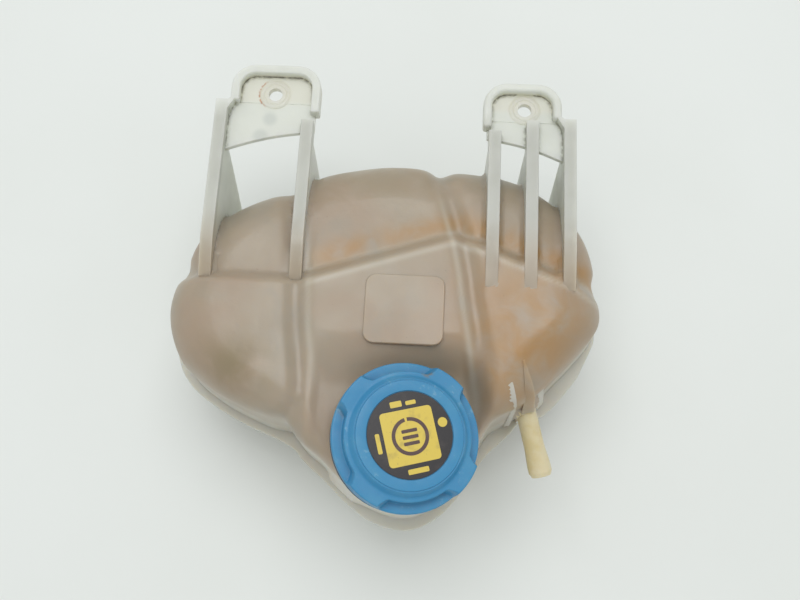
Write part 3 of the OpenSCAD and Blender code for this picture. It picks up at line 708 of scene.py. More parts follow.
@dataclass(frozen=True)
class Ear:
    """A mounting ear: a plate with a raised rim, a bolt boss and the ribs that carry it."""

    x0: float
    x1: float
    back: float
    hole: Point2
    ribs: tuple[Rib, ...]
    rim_fronts: Point2
    plate_sides: Point2
    plate_fronts: Point2
    seat_front: float
    rim_r: float = 12.0
    rim_w: float = 4.3
    top: float = 110.0
    sink: float = 5.0
    plate_t: float = 3.0
    bow: float = 2.0
    bolt_r: float = 3.5
    boss_r: float = 7.8
    boss_h: float = 0.9
    bevel: float = 0.8

    @property
    def low(self) -> float:
        """Underside of the plate."""
        return self.top - self.sink - self.plate_t

    def build_rim(self, name: str) -> bpy.types.Object:
        """Return the raised rim round the back of the plate, open to the front."""
        a, b, r, w = self.x0 + self.rim_r, self.x1 - self.rim_r, self.rim_r, self.rim_w
        y = self.back - r
        outline = [(self.x1, self.rim_fronts[1]), *arc(b, y, r, 0, 90, 12), *arc(a, y, r, 90, 180, 12)]
        outline += [(self.x0, self.rim_fronts[0]), (self.x0 + w, self.rim_fronts[0])]
        outline += [*arc(a, y, r - w, 180, 90, 12), *arc(b, y, r - w, 90, 0, 12), (self.x1 - w, self.rim_fronts[1])]
        return prism(name, outline, self.low, self.top, bevel=self.bevel, segments=4)

    def build_bridge(self, name: str) -> bpy.types.Object:
        """Return the web that joins the rim to the outer rib."""
        rib = max(self.ribs, key=lambda r: abs(r.x))
        side = math.copysign(1.0, rib.x)
        inner = rib.x - side * rib.width / 2
        reach = (self.x0 if side < 0 else self.x1) - side * self.rim_w / 2
        outline = [
            (inner + side, rib.back - 6), (inner, rib.back - 5), (reach, rib.back + 0.4), (reach, rib.back + 2.4),
            (inner + side, rib.back - 0.8),
        ]
        return prism(name, outline, self.low, self.top - 0.05)

    def plate_outline(self, front: Callable[[], list[Point2]]) -> list[Point2]:
        """Return an outline under the rim, closed by a front edge."""
        a, b, r = self.x0 + self.rim_r, self.x1 - self.rim_r, self.rim_r - self.rim_w / 2
        y = self.back - self.rim_r
        return [*front(), *arc(b, y, r, 0, 90, 12), *arc(a, y, r, 90, 180, 12)]

    def front_edge(self) -> list[Point2]:
        """Return the plate's slanting, slightly bowed front edge."""
        (left, right), (first, last) = self.plate_sides, self.plate_fronts
        steps = 10
        return [
            (mix(left, right, k / steps), mix(first, last, k / steps) + self.bow * math.sin(math.pi * k / steps))
            for k in range(steps + 1)
        ]

    def seat_edge(self) -> list[Point2]:
        """Return the front edge of the raised seat round the boss."""
        inset = self.rim_w / 2
        return [(self.x0 + inset, self.seat_front), (self.x1 - inset, self.seat_front)]

    def build(self, name: str) -> list[bpy.types.Object]:
        """Return the solids of the ear, each closed by itself."""
        face = self.low + self.plate_t
        parts = [rib.build(f"{name}_rib_{k}") for k, rib in enumerate(self.ribs)]
        parts += [self.build_rim(f"{name}_rim"), self.build_bridge(f"{name}_bridge")]
        parts.append(prism(f"{name}_plate", self.plate_outline(self.front_edge), self.low, face, bevel=0.5))
        parts.append(prism(f"{name}_seat", self.plate_outline(self.seat_edge), face - 1, face + 0.25, bevel=0.22))
        boss = rounded([
            (0, self.low, 0), (self.boss_r, self.low, 0), (self.boss_r, face + 0.3, 0.1),
            (self.boss_r - 1.2, face + self.boss_h, 1.0), (self.bolt_r + 2.4, face + self.boss_h - 0.1, 1.6),
            (self.bolt_r, face - 1.2, 0), (0, face - 1.2, 0),
        ])
        x, y = self.hole
        parts.append(revolve(f"{name}_boss", boss, 48, Matrix.Translation((x * MM, y * MM, 0))))
        return parts

    def drill(self, name: str) -> bpy.types.Object:
        """Return the tool that drills the bolt hole."""
        outline = arc(*self.hole, self.bolt_r, 0, 360 - 7.5, 47)
        return prism(name, outline, self.low - 1, self.top)


@dataclass(frozen=True)
class Web:
    """One upright web beside the vent's tube, in millimetres.

    Its side is the distance of its start from the tube's axis, its swing the turn away from the tube and its
    top a line of distances along it and heights.
    """

    side: float
    swing: float
    widths: Point2
    top: tuple[Point2, ...]


@dataclass
class VentSpigot:
    """Small hose spigot beside the cap: a sleeve, a tube with a swollen end, and webs."""

    root: tuple[float, float, float] = (62.060, -20.053, 78.0)
    turn: float = -74.0
    dip: float = 11.0
    tube_r: float = 4.9
    bore_r: float = 2.8
    swell_r: float = 5.7
    sleeve_r: float = 6.5
    sleeve_l: float = 18.5
    length: float = 51.0
    low: float = 51.0

    @property
    def place(self) -> Matrix:
        """Placement with Z along the tube."""
        spin = Matrix.Rotation(math.radians(self.turn), 4, "Z") @ Matrix.Rotation(math.radians(90 + self.dip), 4, "Y")
        return Matrix.Translation(Vector(self.root) * MM) @ spin

    def webs(self) -> tuple[Web, ...]:
        """Return the fin over the tube and the thin gussets on its right and left."""
        fin = (
            (-1, 107), (0, 108.4), (4, 107.5), (8, 105.7), (11, 103.8), (14, 100.4), (16, 96), (18, 89), (20.5, 80.5),
        )
        right = ((4, 100), (6, 102.4), (8, 101.6), (10, 99.2), (12, 95.2), (14, 87), (16, 76), (18.5, 60))
        left = ((8, 107.1), (10, 106.7), (12, 105.7), (14, 104), (16, 101.9), (18, 97.6), (19.5, 88), (21, 62))
        return Web(0.0, 0.0, (0.8, 6.4), fin), Web(0.4, 32.0, (3.4, 4.2), right), Web(-8.2, 0.0, (1.8, 2.8), left)

    def web_place(self, web: Web) -> Matrix:
        """Placement of a web with X along it, Y across it and Z up."""
        x, y, _ = self.root
        turn = Matrix.Translation((x * MM, y * MM, 0)) @ Matrix.Rotation(math.radians(self.turn), 4, "Z")
        return turn @ Matrix.Translation((0, web.side * MM, 0)) @ Matrix.Rotation(math.radians(web.swing), 4, "Z")

    def build_web(self, name: str, web: Web) -> bpy.types.Object:
        """Return an upright web that gets thicker away from the dome."""
        near, far = web.top[0][0], web.top[-1][0]
        upright = Matrix(((1, 0, 0, 0), (0, 0, -1, 0), (0, 1, 0, 0), (0, 0, 0, 1)))
        piece = prism(name, [(near, self.low), *web.top, (far + 0.4, self.low)], -0.5, 0.5, bevel=0.12)
        for vertex in piece.data.vertices:
            vertex.co.z *= mix(*web.widths, clamp((vertex.co.x / MM - near) / (far - near)))
        piece.data.transform(self.web_place(web) @ upright)
        return piece

    def on_gusset(self, place: Vector) -> bool:
        """Tell whether a place in millimetres lies on the skin of one of the thin gussets."""
        if math.hypot(place.x - self.root[0], place.y - self.root[1]) > 28:
            return False
        for web in self.webs()[1:]:
            near, far = web.top[0][0], web.top[-1][0]
            along, across, high = self.web_place(web).inverted() @ (place * MM) / MM
            half = mix(*web.widths, clamp((along - near) / (far - near))) / 2
            below = lookup(along, web.top) - high
            if near <= along <= far + 0.6 and below > -0.15:
                if abs(abs(across) - half) < 0.15 or (abs(across) < half and (below < 0.2 or along > far)):
                    return True
        return False

    def build(self, name: str) -> list[bpy.types.Object]:
        """Return the solids of the spigot."""
        end = self.length
        tube = rounded([
            (0, 0, 0), (self.tube_r, 0, 0), (self.tube_r, end - 15, 8), (self.swell_r, end - 5, 5),
            (self.swell_r - 0.1, end - 2.2, 1.6), (self.tube_r - 0.3, end, 0.7), (0, end, 0),
        ])
        sleeve = rounded([(0, 0, 0), (self.sleeve_r, 0, 0), (self.sleeve_r, self.sleeve_l, 1.2), (0, self.sleeve_l, 0)])
        parts = [revolve(f"{name}_tube", tube, 64, self.place), revolve(f"{name}_sleeve", sleeve, 48, self.place)]
        return parts + [self.build_web(f"{name}_web_{k}", web) for k, web in enumerate(self.webs())]

    def drill(self, name: str) -> bpy.types.Object:
        """Return the tool that opens the tube's bore."""
        far = self.length + 1
        return revolve(name, [(0, 0), (self.bore_r, 0), (self.bore_r, far), (0, far)], 40, self.place)

    def reach(self, point: Vector) -> float:
        """Return the distance in millimetres from a place to the sleeve's side."""
        local = self.place.inverted() @ (point * MM) / MM
        return math.hypot(local.x, local.y) - self.sleeve_r if local.z > 0 else 99.0


@dataclass
class FillerNeck:
    """Slanted neck with its outside thread."""

    x: float = 10.6
    y: float = -58.288
    lip: float = 117.0
    lean: float = 12.0
    bore_r: float = 22.5
    wall_r: float = 26.5
    lip_r: float = 25.2
    lip_l: float = 3.6
    length: float = 20.0
    pitch: float = 4.0
    thread_z: float = -11.4
    turns: float = 1.5

    @property
    def place(self) -> Matrix:
        """Placement with Z up the neck and 0 at its lip."""
        return Matrix.Translation(Vector((self.x, self.y, self.lip)) * MM) @ Matrix.Rotation(
            math.radians(self.lean), 4, "Y"
        )

    def build(self, name: str) -> list[bpy.types.Object]:
        """Return the solids of the neck."""
        foot = -self.length - 6.5
        wall = rounded([
            (0, foot, 0), (self.wall_r, foot, 0), (self.wall_r, -self.lip_l, 0.4),
            (self.lip_r, -self.lip_l, 0.2), (self.lip_r, 0, 0.8), (0, 0, 0),
        ])
        ridge = [(self.wall_r - 0.4, -1.1), (self.wall_r + 1.6, -0.55), (self.wall_r + 1.8, -0.3),
                 (self.wall_r + 1.8, 0.3), (self.wall_r + 1.6, 0.55), (self.wall_r - 0.4, 1.1)]
        section = [(r, h + self.thread_z) for r, h in ridge]
        return [
            revolve(f"{name}_wall", wall, 96, self.place),
            helix(f"{name}_thread", section, self.pitch, self.turns, 0.0, 72, self.place),
        ]

    def drill(self, name: str) -> bpy.types.Object:
        """Return the tool that opens the neck's bore."""
        radius = self.bore_r
        path = [(0, -30), (radius, -30), (radius, -0.8), (radius + 0.8, 0), (radius + 0.8, 1), (0, 1)]
        return revolve(name, path, 96, self.place)

    def reach(self, point: Vector) -> float:
        """Return the distance in millimetres from a place to the neck's side."""
        local = self.place.inverted() @ (point * MM) / MM
        return math.hypot(local.x, local.y) - self.wall_r


# ---- Finishes of the tank


@dataclass(frozen=True)
class StainedPolypropylene:
    """Natural polypropylene, moulded, years in a hot engine bay.

    The resin is milky and lets some light in. Old coolant stains it tan to orange from the inside, the
    mould leaves it satin, and road dirt and painted shade darken its corners. Its thin flange stays paler;
    the nose's front and the low walls are laid pale as painted light, and pale lines along the step and
    the valleys are painted highlights.
    """

    milky: str = "#a39684"
    rosy: str = "#a28f7c"
    greyed: str = "#989082"
    orange: str = "#a58050"
    olive: str = "#83775a"
    # pale of the thin flange; also painted light on the nose's front and low walls, and painted highlight lines
    thin: str = "#cdcabf"
    # dirt in specks, and dirt with painted shade in the corners
    dirt: str = "#5d5142"

    def build(self) -> bpy.types.Material:
        """Return the material of the stained body."""
        made = Finish("stained_polypropylene", self.milky)
        marks = add_node(made.tree, "ShaderNodeAttribute", attribute_name="marks", attribute_type="GEOMETRY")
        split = add_node(made.tree, "ShaderNodeSeparateColor", {0: marks.outputs["Color"]})
        made.layer(made.noise(46, 0.4, 0.65, detail=3.0), self.rosy, 0.8)
        made.layer(made.noise(30, 0.5, 0.72, detail=4.0, distortion=0.4), self.greyed, 0.7)
        cloud = made.noise(17, 0.25, 0.6, detail=4.0, distortion=0.5)
        made.layer(made.times(split.outputs[1], cloud), self.orange)
        made.layer(made.times(split.outputs[2], cloud), self.olive)
        # the pale channel: the thin flange's own paleness, painted light on the nose's front and low walls, painted
        # highlight lines
        made.layer(split.outputs[0], self.thin)
        # dirt and painted shade in the corners, through the occlusion mask
        corners = made.crevices(3, 0.3, 0.85)
        made.layer(made.times(corners, made.noise(5, 0.3, 0.7, detail=3.0)), self.dirt, 0.25)
        specks = made.noise(1.1, 0.72, 0.78, detail=2.0)
        made.layer(made.times(specks, made.noise(22, 0.45, 0.6)), self.dirt, 0.35)
        satin = made.spread(made.noise(24, 0.3, 0.7, detail=2.0), 0, 1, 0.3, 0.42)
        return made.finish(
            [(made.noise(9, 0.2, 0.8, detail=2.0), 0.12), (made.noise(0.8, 0.2, 0.8), 0.012)],
            satin, Subsurface_Weight=0.5, Subsurface_Radius=(0.009, 0.0065, 0.004), Subsurface_Scale=1.0, IOR=1.49,
        )


@dataclass(frozen=True)
class ClearPolypropylene:
    """The same resin where only one wall is thick: no coolant behind it, so it stays milky grey, with painted shade on
    the ribs and in the corners.
    """

    name: str = "clear_polypropylene"
    milky: str = "#cacdc7"
    greyed: str = "#bcbeb8"
    # painted shade for the rib tops, darker than the plates
    rib: str = "#a9aaa4"
    creamy: str = "#ccc8bb"
    stained: str = "#a39684"
    # dirt, laid with painted shade in the corners and in the crevices at the back
    dirt: str = "#4d463c"
    rust: str = "#a9683f"

    def build(self, holes: Sequence[Point2]) -> bpy.types.Material:
        """Return the material of the ears and ribs, with a rust mark at the first bolt hole."""
        made = Finish(self.name, self.milky)
        axes = add_node(made.tree, "ShaderNodeSeparateXYZ", {0: made.place})
        made.layer(made.noise(28, 0.4, 0.65, detail=3.0), self.greyed, 0.4)
        high, along = axes.outputs[2], axes.outputs[1]
        # painted shade: the rib tops are laid darker, as the thick ribs let less light through
        raised = made.times(made.spread(high, 105.5 * MM, 107.5 * MM), made.spread(along, 104 * MM, 92 * MM))
        made.layer(raised, self.rib, 0.75)
        made.layer(made.spread(along, 54 * MM, 15 * MM), self.stained)
        seat = made.times(made.spread(along, 104 * MM, 108 * MM), made.spread(high, 107.5 * MM, 106.8 * MM))
        made.layer(seat, self.creamy, 0.45)
        for x, y, radius in ((-65.2, 97.1, 1.6), (-69.3, 87.6, 1.8)):
            made.layer(made.spot((x, y, 105), radius, 3.4), "#b3b8b5", 0.7)
        clean = 1.0
        for hole in holes:
            made.layer(made.spot((*hole, 105.5), 7.4, 1.2), self.creamy, 0.4)
            clean = made.times(made.spread(made.spot((*hole, 105.5), 8.8, 0.8), 1, 0), clean)
        rusty = (*holes[0], 105.5)
        ring = made.times(made.spot(rusty, 8.1, 0.9), made.spread(made.spot(rusty, 7.3, 0.9), 1, 0))
        side = made.spread(axes.outputs[0], (rusty[0] - 3.5) * MM, (rusty[0] - 6.5) * MM)
        made.layer(made.times(ring, side, made.noise(1.6, 0.4, 0.6, detail=3.0)), self.rust, 0.75)
        # dirt and painted shade in the corners, through the occlusion mask, kept off the bolt holes
        corners = made.times(made.crevices(3.0, 0.4, 0.9), clean)
        made.layer(made.times(corners, made.noise(2.2, 0.38, 0.62, detail=4.0)), self.dirt, 0.6)
        # dirt and painted shade in the crevices at the back of the ears
        under = made.times(made.crevices(2.2, 0.3, 0.75), clean, made.spread(along, 110 * MM, 114 * MM))
        made.layer(made.times(under, made.noise(1.3, 0.35, 0.5, detail=4.0)), self.dirt, 0.9)
        return made.finish(
            [(made.noise(0.8, 0.2, 0.8), 0.012)],
            made.spread(made.noise(12, 0.3, 0.7), 0, 1, 0.34, 0.46),
            Subsurface_Weight=0.75, Subsurface_Radius=(0.012, 0.012, 0.010), Subsurface_Scale=1.0, IOR=1.49,
        )


@dataclass(frozen=True)
class YellowedPolypropylene:
    """The same resin, gone yellow where a hot hose covered it."""

    yellow: str = "#d5caa8"
    deep: str = "#ccbc8c"
    dirt: str = "#6a5c3c"

    def build(self) -> bpy.types.Material:
        """Return the material of the vent's tube."""
        made = Finish("yellowed_polypropylene", self.yellow)
        made.layer(made.noise(9, 0.4, 0.65, detail=3.0), self.deep, 0.8)
        # dirt and painted shade in the crevices, through the occlusion mask
        made.layer(made.times(made.crevices(2, 0.4, 0.85), made.noise(2, 0.4, 0.6)), self.dirt, 0.6)
        return made.finish(
            [(made.noise(0.8, 0.2, 0.8), 0.012)], 0.38,
            Subsurface_Weight=0.4, Subsurface_Radius=(0.005, 0.004, 0.002), Subsurface_Scale=1.0, IOR=1.49,
        )


@dataclass(frozen=True)
class Stain:
    """A soft stain on the dome, in millimetres, squashed across or along where it isn't round."""

    x: float
    y: float
    width: float
    strength: float
    squash: Point2 = (1.0, 1.0)

    def at(self, x: float, y: float) -> float:
        """Return how strong the stain is at a place."""
        across, along = self.squash
        return self.strength * bump(math.hypot((x - self.x) * across, (y - self.y) * along), self.width)


class TankSlot(Enum):
    """Material slots of the tank's two halves."""

    BODY = 0
    EAR = 1
    HOSE = 2
    GUSSET = 3


# ---- The two halves


@dataclass
class Tank:
    """Both welded halves of the tank."""

    form: TankForm = field(default_factory=TankForm)
    neck: FillerNeck = field(default_factory=FillerNeck)
    vent: VentSpigot = field(default_factory=VentSpigot)
    left: Ear = field(default_factory=lambda: Ear(
        x0=-85, x1=-40.5, back=124.5, hole=(-63.5, 110.5),
        ribs=(Rib(-89, 105, 68, 104.9), Rib(-45.8, 95.5, 80, 104.9)),
        rim_fronts=(105, 99.5), plate_sides=(-89, -42.65), plate_fronts=(79, 91), seat_front=105.5,
    ))
    right: Ear = field(default_factory=lambda: Ear(
        x0=40.5, x1=79, back=119.5, hole=(61, 107),
        ribs=(Rib(46.5, 93.5, 83, 109.2), Rib(64.75, 99.5, 83, 108.7), Rib(83, 101, 78, 106.8)),
        rim_fronts=(95.5, 101), plate_sides=(42.65, 83), plate_fronts=(91, 79), seat_front=100.3, bevel=1.5,
    ))
    segments: int = 360
    fillet_r: float = 2.6
    pad: tuple[float, float, float, float] = (37.0, 33.0, 6.5, 1.0)
    pad_h: float = 0.8
    outlet: tuple[float, float, float] = (-8.0, 82.79, 21.0)
    outlet_r: float = 9.5
    outlet_bore_r: float = 7.0
    outlet_swell_r: float = 10.4
    outlet_l: float = 23.0
    orange: tuple[Stain, Stain] = (Stain(64, -4, 27, 0.95, (1.0, 0.8)), Stain(55, -27, 12, 0.4))
    olive: Stain = Stain(-70, -27, 13, 0.75, (0.8, 1.0))

    @property
    def ribs(self) -> tuple[Rib, ...]:
        """All ribs of both ears."""
        return self.left.ribs + self.right.ribs

    def dome_rings(self) -> list[list[Vector]]:
        """Return the rings of the upper half's outside, from the top down."""
        form, count = self.form, self.segments
        rings = [form.top_ring(k / 58, 0.0, count) for k in range(1, 59)]
        rings += [form.edge_ring(turn, 0.0, count) for turn in range(6, 91, 6)]
        ledge = form.seam + form.flange_t
        foot = form.level_ring(form.draft, 0.0, ledge + 1.2, count)
        rings += form.wall_rings(rings[-1], foot, 14)
        rings.append(foot)
        for out, up in ((0.1, 0.6), (0.4, 0.2), (1.0, 0.0)):
            rings.append(form.level_ring(form.draft + out, 0.0, ledge + up, count))
        for out, drop in ((-0.7, 0.0), (-0.2, 0.2), (0.0, 0.7), (0.0, form.flange_t)):
            rings.append(form.level_ring(form.draft + out, 1.0, ledge - drop, count))
        return rings

    def blend_joints(self, obj: bpy.types.Object) -> None:
        """Raise the dome's surface where ribs, neck and spigot grow out of it, as a fillet does."""
        shifts = []
        for vertex in obj.data.vertices:
            place = vertex.co / MM
            if place.z < self.form.seam + self.form.flange_t + 1.5:
                continue
            nearest = min(self.ribs, key=lambda rib: rib.reach(place.x, place.y))
            radius = clamp(nearest.top_at(place.y) - place.z - 0.3, 0.01, self.fillet_r)
            lift = fillet(nearest.reach(place.x, place.y), radius) + fillet(self.neck.reach(place), 3.5)
            lift += fillet(self.vent.reach(place), self.fillet_r)
            if lift > 0:
                shifts.append((vertex, vertex.normal * min(lift, self.fillet_r) * MM))
        for vertex, shift in shifts:
            vertex.co += shift
        obj.data.update()

    def cavity(self, rings: list[list[Vector]], top: float, bottom: float) -> bpy.types.Object:
        """Return the tool that hollows a half."""
        return ringed("cavity", Vector((0, 0, top)), rings, Vector((0, 0, bottom)))

    def paint(self, obj: bpy.types.Object) -> None:
        """Write the marks that follow the surface: pale thin places and painted light, painted highlight lines, orange
        stains, olive stains.
        """
        layer = obj.data.color_attributes.new("marks", "FLOAT_COLOR", "POINT")
        for vertex, item in zip(obj.data.vertices, layer.data):
            item.color = (*self.marks(vertex.co / MM), 1.0)

    def marks(self, place: Vector) -> tuple[float, float, float]:
        """Return the pale marks, of the thin flange, painted light and painted highlight lines, and the orange and
        olive stains at a place in millimetres.
        """
        form = self.form
        x, y, z = place
        degrees = math.degrees(math.atan2(y, x)) % 360
        wall = form.plan.at(degrees) + form.draft
        out = math.hypot(x / form.stretch[0], y / form.stretch[1]) - wall
        nose = bump(min(abs(degrees - 270), 90), 34)
        # painted light: the nose's front is laid pale, as light through the resin
        front = smooth(102, 84, z) * bump(min(abs(degrees - 270), 90), 48)
        thin = smooth(-0.5, 1.2, out) * smooth(form.seam + 6, form.seam + 1, z) * (1 - 0.75 * nose)
        # painted light: the walls below 84 mm are laid pale too, away from the nose
        thin = max(thin, front, 0.8 * smooth(84, 60, z) * smooth(-8, 0, out) * (1 - nose))
        step = y - lookup(x, form.step_line)
        # painted highlights: pale lines along the step's edges and beside both valleys
        lines = 0.0
        if z > 92:
            lines = 0.4 * bump(step + 4.6, 1.5) + 0.2 * bump(step - 3.2, 1.2)
            lines += 0.45 * bump(x - lookup(y, form.left_valley) - 5.2, 1.7) * smooth(-48, -10, y)
            lines += 0.5 * bump(x - lookup(y, form.right_valley) + 4.8, 1.5) * smooth(70, 40, y)
            lines *= smooth(-44, -36, x) if y < 20 or x < -44 else 1.0
        band = bump(step - 8.5, 6.0) * smooth(-46, -30, x) * 0.75
        right = self.orange[0].at(x, y) + self.orange[1].at(x, y)
        rear = 0.3 * smooth(40, 75, y)
        return max(thin, lines * 0.8), min(band + right, 1.0), min(self.olive.at(x, y) + rear, 1.0)

    def slots(self, obj: bpy.types.Object, materials: Sequence[bpy.types.Material]) -> None:
        """Give the ears and the vent's tube their own finishes."""
        dress(obj, materials)
        inverse = self.vent.place.inverted()
        for face in obj.data.polygons:
            x, y, z = face.center / MM
            slot = TankSlot.BODY
            local = inverse @ face.center / MM
            if math.hypot(local.x, local.y) < self.vent.swell_r + 0.1 and local.z > self.vent.sleeve_l + 0.3:
                slot = TankSlot.HOSE
            elif self.vent.on_gusset(face.center / MM):
                slot = TankSlot.GUSSET
            elif z > 51.5 and (y > 92 or self.on_rib(x, y, z)):
                slot = TankSlot.EAR
            face.material_index = slot.value

    def on_rib(self, x: float, y: float, z: float) -> bool:
        """Tell whether a place lies on a rib or a plate and not on the dome."""
        over = any(rib.reach(x, y) < 0.02 and z < rib.top_at(y) + 0.05 for rib in self.ribs)
        return over or (y > 78.5 and z > 101.5)

    def build_upper(self, materials: Sequence[bpy.types.Material]) -> bpy.types.Object:
        """Return the upper half.

        Args:
            materials: The finishes of its slots.

        Returns:
            The finished piece.
        """
        form = self.form
        top, foot = Vector((0, 0, form.height(0, 0))), Vector((0, 0, form.seam))
        upper = ringed("tank_upper_half", top, self.dome_rings(), foot)
        self.blend_joints(upper)
        inner = [form.top_ring(k / 30, form.wall, 180) for k in range(1, 31)]
        inner += [form.edge_ring(turn, form.wall, 180) for turn in range(10, 91, 10)]
        inner += [form.level_ring(form.draft - form.wall, 0.0, z, 180) for z in (form.seam, form.seam - 3)]
        parts = self.left.build("left_ear") + self.right.build("right_ear")
        parts += self.vent.build("vent") + self.neck.build("neck")
        width, length, x, y = self.pad
        parts.append(prism("pad", rounded_box(width, length, 5, x, y), form.top - form.wall, form.top + self.pad_h,
                           bevel=0.6, segments=3))
        combine(upper, parts, Join.ADD)
        tools = [self.cavity(inner, form.height(0, 0) - form.wall, form.seam - 3), self.neck.drill("neck_bore")]
        tools += [self.vent.drill("vent_bore"), self.left.drill("left_hole"), self.right.drill("right_hole")]
        combine(upper, tools, Join.CUT)
        self.paint(upper)
        self.slots(upper, materials)
        soften(upper, 32)
        modify(upper, "WEIGHTED_NORMAL", keep_sharp=True)
        return upper

    def build_lower(self, materials: Sequence[bpy.types.Material]) -> bpy.types.Object:
        """Return the lower half with its outlet spigot.

        Args:
            materials: The finishes of its slots.

        Returns:
            The finished piece.
        """
        form, count = self.form, 240
        ledge = form.seam - form.flange_t
        rings = [form.level_ring(form.draft, share, form.seam, count) for share in (0.5, 1.0)]
        for out, up in ((0.0, 0.7), (0.2, 0.2), (0.7, 0.0)):
            rings.append(form.level_ring(form.draft - out, 1.0, ledge + up, count))
        first = form.level_ring(form.lean(ledge), 0.0, ledge, count)
        knee = form.level_ring(form.lean(form.sump_round), 0.0, form.sump_round, count)
        rings += [first, *form.wall_rings(first, knee, 12)]
        rings += form.foot_rings(0.0, 10, count)
        lower = ringed("tank_lower_half", Vector((0, 0, form.seam)), rings, Vector((0, 0, 0)))
        x, y, z = self.outlet
        place = Matrix.Translation(Vector((x, y, z)) * MM) @ Matrix.Rotation(math.radians(-90), 4, "X")
        end = self.outlet_l
        tube = rounded([
            (0, -14, 0), (self.outlet_r, -14, 0), (self.outlet_r, end - 8.5, 4), (self.outlet_swell_r, end - 4.2, 3),
            (self.outlet_r - 0.2, end, 0.9), (0, end, 0),
        ])
        combine(lower, [revolve("outlet_tube", tube, 72, place)], Join.ADD)
        inner = [form.level_ring(form.lean(form.seam) - form.wall, 0.0, form.seam + 1, 180)]
        inner += form.foot_rings(form.wall, 15, 180)
        bore = [(0, -28), (self.outlet_bore_r, -28), (self.outlet_bore_r, end + 1), (0, end + 1)]
        tools = [self.cavity(inner, form.seam + 1, form.wall), revolve("outlet_bore", bore, 48, place)]
        combine(lower, tools, Join.CUT)
        self.paint(lower)
        dress(lower, materials)
        soften(lower, 32)
        return lower

    def build(self) -> None:
        """Build, dress and place both halves."""
        body = StainedPolypropylene().build()
        holes = (self.left.hole, self.right.hole)
        thin = ClearPolypropylene("thin_polypropylene", stained="#c2beb2").build(holes)
        finishes = [body, ClearPolypropylene().build(holes), YellowedPolypropylene().build(), thin]
        for piece, node in (
            (self.build_upper(finishes), "upper_shell"),
            (self.build_lower([body]), "lower_shell"),
        ):
            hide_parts(node)
            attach(piece, "tank")
            log.info("%s: %d faces", piece.name, len(piece.data.polygons))


# ---- The cap


@dataclass(frozen=True)
class CapPlastic:
    """Glass-filled nylon, dyed blue and moulded: satin, scuffed pale on its edges, dirt smudges and painted shade in
    its corners.

    The skirt under the rim is laid darker as painted shade, by its height along the neck's axis in metres.
    """

    blue: str = "#3382af"
    faded: str = "#428bb1"
    shadow: str = "#224563"
    # painted shade on the skirt under the rim
    under: str = "#1c3853"
    dirt: str = "#6d6a60"
    scuff: str = "#8db4c6"
    axis: tuple[float, float, float] = (0.207912, 0.0, 0.978148)
    rim_foot: float = 0.1131
    skirt_top: float = 0.1124

    def build(self) -> bpy.types.Material:
        """Return the material of the knob."""
        made = Finish("moulded_nylon_blue", self.blue)
        made.layer(made.noise(12, 0.42, 0.68, detail=3.0), self.faded, 0.6)
        made.layer(made.crevices(4, 0.35, 0.9), self.shadow, 0.4)
        # painted shade: the skirt under the rim is laid dark navy, by its height along the axis
        height = add_node(
            made.tree, "ShaderNodeVectorMath", {0: made.place, 1: self.axis}, operation="DOT_PRODUCT"
        ).outputs["Value"]
        made.layer(made.spread(height, self.rim_foot, self.skirt_top), self.under, 0.9)
        smudge = made.times(made.spot((18.7, -29.5, 121), 1.6, 2.2), made.noise(1.6, 0.3, 0.6))
        made.layer(smudge, self.dirt, 0.9)
        made.layer(made.times(made.spot((-18.1, -49.4, 118), 2.2, 4.0), made.noise(3, 0.3, 0.6)), self.dirt, 0.6)
        made.layer(made.times(made.noise(6, 0.55, 0.75, detail=4.0), made.noise(1.2, 0.5, 0.7)), self.scuff, 0.5)
        return made.finish(
            [(made.noise(0.5, 0.2, 0.8), 0.01)],
            made.spread(made.noise(8, 0.3, 0.7), 0, 1, 0.4, 0.55), Subsurface_Weight=0.05, IOR=1.53,
        )


@dataclass(frozen=True)
class PrintedFoil:
    """Printed vinyl foil under a clear coat: flat colour, faintly glossy, a little dirty."""

    name: str
    ink: str
    dirt: str
    amount: float = 0.5

    def build(self) -> bpy.types.Material:
        """Return the material of one ink."""
        made = Finish(self.name, self.ink)
        made.layer(made.noise(5, 0.5, 0.75, detail=4.0), self.dirt, self.amount)
        made.layer(made.noise(0.9, 0.66, 0.74), self.dirt, self.amount)
        return made.finish((), 0.36, Coat_Weight=0.15, Coat_Roughness=0.3)


